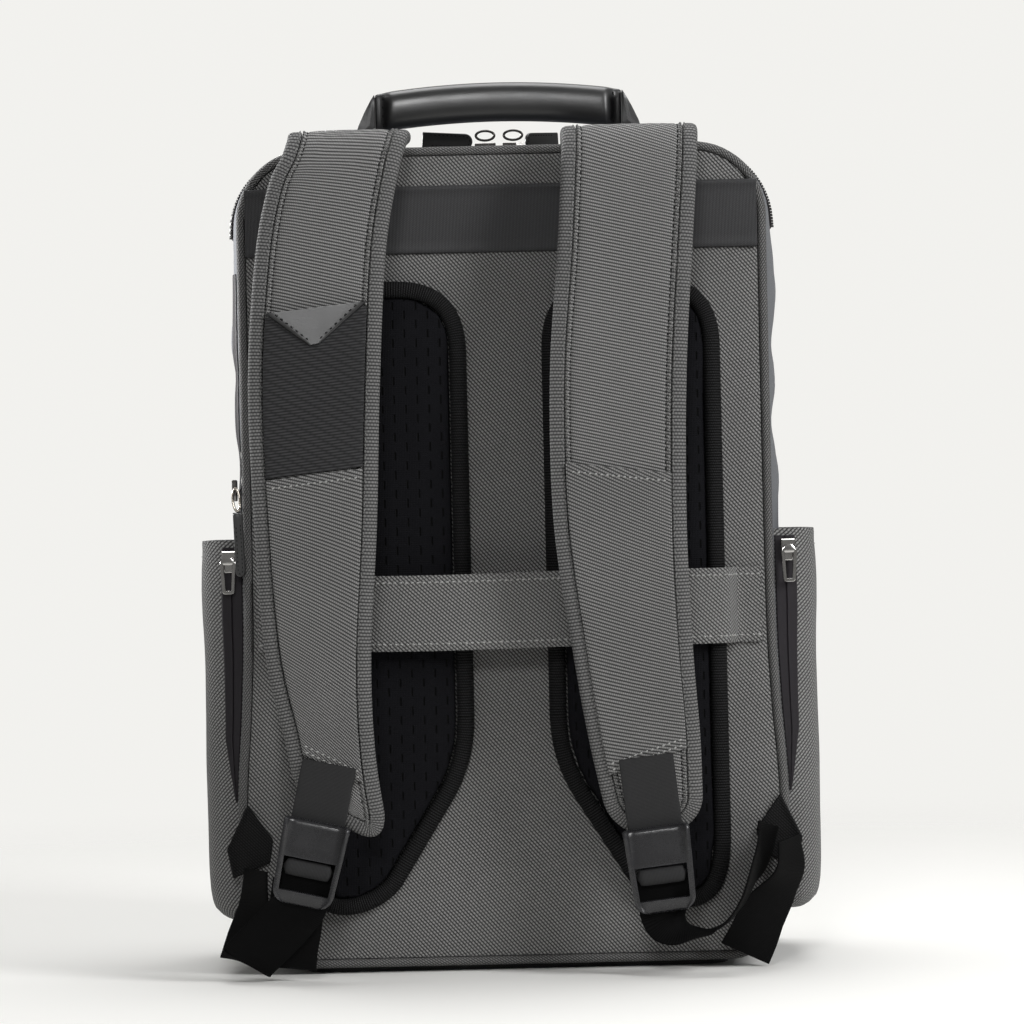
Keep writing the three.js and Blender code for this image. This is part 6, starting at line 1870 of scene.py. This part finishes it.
class PaddingSettings(bpy.types.PropertyGroup):
    pressure: FloatProperty(
        name="Pad pressure", description="Pressure that fills the back pads in the simulation",
        default=4, min=0, max=10)
    channel: FloatProperty(
        name="Channel inset", description="How far inside its rim a back pad is sewn down, in millimetres",
        default=8, min=4, max=20)
    strap_rise: FloatProperty(
        name="Strap softness", description="How far the straps' padding gives, in millimetres",
        default=0.6, min=0, max=2)
    panel_puff: FloatProperty(
        name="Panel edge roll", description="How far a panel's edge rolls in to its seam, in millimetres",
        default=1.6, min=0, max=4)


class ColourSettings(bpy.types.PropertyGroup):
    twill_thread: FloatVectorProperty(
        name="Twill thread", description="Lit threads of the twill", subtype="COLOR",
        default=(0.27, 0.268, 0.265))
    twill_gap: FloatVectorProperty(
        name="Twill gap", description="Shade between the twill's threads", subtype="COLOR",
        default=(0.009, 0.009, 0.0095))
    side_cloth: FloatVectorProperty(
        name="Side cloth", description="Smooth cloth of the sides", subtype="COLOR",
        default=(0.135, 0.142, 0.158))
    dark_cloth: FloatVectorProperty(
        name="Dark cloth", description="Yoke and strap pocket", subtype="COLOR",
        default=(0.04, 0.04, 0.042))
    black_cloth: FloatVectorProperty(
        name="Black webbing", description="Webbing and pad binding", subtype="COLOR",
        default=(0.012, 0.012, 0.0125))
    pad_mesh: FloatVectorProperty(
        name="Air mesh", description="Mesh of the back pads", subtype="COLOR",
        default=(0.0045, 0.0045, 0.006))
    tape: FloatVectorProperty(
        name="Zip tape", description="Coated tape of the zips", subtype="COLOR",
        default=(0.021, 0.018, 0.022))
    leather: FloatVectorProperty(
        name="Leather", description="Handle, pulls and tab", subtype="COLOR",
        default=(0.0055, 0.0055, 0.006))
    plastic: FloatVectorProperty(
        name="Buckle", description="Moulded ladder buckles", subtype="COLOR",
        default=(0.015, 0.015, 0.0165))
    metal: FloatVectorProperty(
        name="Metal", description="Zip sliders, rings and pulls", subtype="COLOR",
        default=(0.45, 0.44, 0.43))


class BACKPACK_OT_body(bpy.types.Operator):
    """Builds the sides, panels, piping and base of the bag"""

    bl_idname = "backpack.body"
    bl_label = "Body of the bag"

    def execute(self, context):
        cloth, padding = context.scene.backpack_cloth, context.scene.backpack_padding
        make_gusset(cloth.fold_depth)
        back = make_panel(
            "back_panel_cloth", BACK, -1, 0, PANEL_PADDING, padding.panel_puff, "back_panel")
        make_panel(
            "front_panel_cloth", FRONT, 1, FRONT_BULGE, CLOTH, padding.panel_puff * 0.6, "front_panel")
        make_piping("back_seam_piping", BACK + PIPING / 2, "back_piping")
        make_piping("front_seam_piping", FRONT - PIPING / 2, "front_piping")
        make_yoke()
        refinish(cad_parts["base_panel"], "base")
        return {"FINISHED"}


class BACKPACK_OT_pads(bpy.types.Operator):
    """Builds the back pads, their rims and the luggage band"""

    bl_idname = "backpack.pads"
    bl_label = "Back pads and luggage band"

    def execute(self, context):
        padding = context.scene.backpack_padding
        for side, sign in SIDES:
            make_pad_binding(side, sign)
            make_pad(side, sign, padding.pressure, padding.channel)
        make_luggage_strap(context.scene.backpack_cloth.stitch_pitch)
        return {"FINISHED"}


class BACKPACK_OT_straps(bpy.types.Operator):
    """Builds the shoulder straps with their faces, edges, pocket and stitches"""

    bl_idname = "backpack.straps"
    bl_label = "Shoulder straps"

    def execute(self, context):
        pitch = context.scene.backpack_cloth.stitch_pitch
        for side, sign in SIDES:
            strap = Strap(side, sign)
            make_strap_body(strap, context.scene.backpack_padding.strap_rise)
            make_strap_binding(strap)
            make_strap_stitches(strap, pitch)
            make_strap_cover(strap, pitch)
            if side == "left":
                make_strap_pocket(strap, pitch)
        return {"FINISHED"}


class BACKPACK_OT_webbing(bpy.types.Operator):
    """Builds the ladder buckles, the webbing through them and the wing tabs"""

    bl_idname = "backpack.webbing"
    bl_label = "Buckles and webbing"

    def execute(self, context):
        for side, sign in SIDES:
            strap = Strap(side, sign)
            seat = buckle_place(strap)
            make_buckle(strap, seat)
            make_strap_webbing(strap, seat)
            make_webbing_run(strap, seat, "adjuster_webbing")
            make_webbing_run(strap, seat, "webbing_tail")
            make_wing_tab(side, sign)
        return {"FINISHED"}


class BACKPACK_OT_pockets(bpy.types.Operator):
    """Builds the side pockets and their zips"""

    bl_idname = "backpack.pockets"
    bl_label = "Side pockets"

    def execute(self, context):
        for side, sign in SIDES:
            make_pocket(side, sign, context.scene.backpack_cloth.stitch_pitch)
            make_pocket_zip(side, sign)
            make_metal_pull(side)
        return {"FINISHED"}


class BACKPACK_OT_zips(bpy.types.Operator):
    """Builds the main and side zips with their sliders, rings and pulls"""

    bl_idname = "backpack.zips"
    bl_label = "Zips"

    def execute(self, context):
        pitch = context.scene.backpack_cloth.stitch_pitch
        make_main_zip()
        make_side_zip()
        dress_metal()
        for side, _ in SIDES:
            make_ring(f"zip_ring_{side}", f"top_ring_{side}", "gunmetal")
            make_leather_pull(f"zip_pull_{side}", f"top_pull_{side}", *TOP_PULL, pitch)
        make_ring("side_zip_ring", "side_ring", "pale_metal")
        make_leather_pull("side_zip_pull", "side_pull", *SIDE_PULL, pitch)
        return {"FINISHED"}


class BACKPACK_OT_handle(bpy.types.Operator):
    """Builds the leather handle"""

    bl_idname = "backpack.handle"
    bl_label = "Handle"

    def execute(self, context):
        make_handle(context.scene.backpack_cloth.stitch_pitch)
        return {"FINISHED"}


class BACKPACK_OT_stage(bpy.types.Operator):
    """Sets the floor, the light and the camera"""

    bl_idname = "backpack.stage"
    bl_label = "Studio"

    def execute(self, context):
        make_floor()
        make_world(AMBIENT)
        for light in LIGHTS:
            add_light(*light)
        make_camera()
        context.scene.view_settings.view_transform = "Standard"
        return {"FINISHED"}


class BACKPACK_PT_panel(bpy.types.Panel):
    bl_label = "Laptop backpack"
    bl_idname = "BACKPACK_PT_panel"
    bl_space_type = "VIEW_3D"
    bl_region_type = "UI"
    bl_category = "Backpack"

    def draw(self, context):
        column = self.layout.column()
        for settings in (
            context.scene.backpack_cloth, context.scene.backpack_padding, context.scene.backpack_colours,
        ):
            for label in settings.__annotations__:
                column.prop(settings, label)
        for operator in OPERATORS:
            column.operator(operator.bl_idname)


SETTINGS = {
    "backpack_cloth": ClothSettings, "backpack_padding": PaddingSettings, "backpack_colours": ColourSettings,
}
OPERATORS = (
    BACKPACK_OT_body, BACKPACK_OT_pads, BACKPACK_OT_straps, BACKPACK_OT_webbing, BACKPACK_OT_pockets,
    BACKPACK_OT_zips, BACKPACK_OT_handle, BACKPACK_OT_stage,
)


def register():
    for each in (*SETTINGS.values(), *OPERATORS, BACKPACK_PT_panel):
        bpy.utils.register_class(each)
    for name, group in SETTINGS.items():
        setattr(bpy.types.Scene, name, PointerProperty(type=group))


def unregister():
    for name in SETTINGS:
        delattr(bpy.types.Scene, name)
    for each in reversed((*SETTINGS.values(), *OPERATORS, BACKPACK_PT_panel)):
        bpy.utils.unregister_class(each)


def main():
    register()
    for operator in OPERATORS:
        group, name = operator.bl_idname.split(".")
        getattr(getattr(bpy.ops, group), name)()


if __name__ == "__main__":
    main()
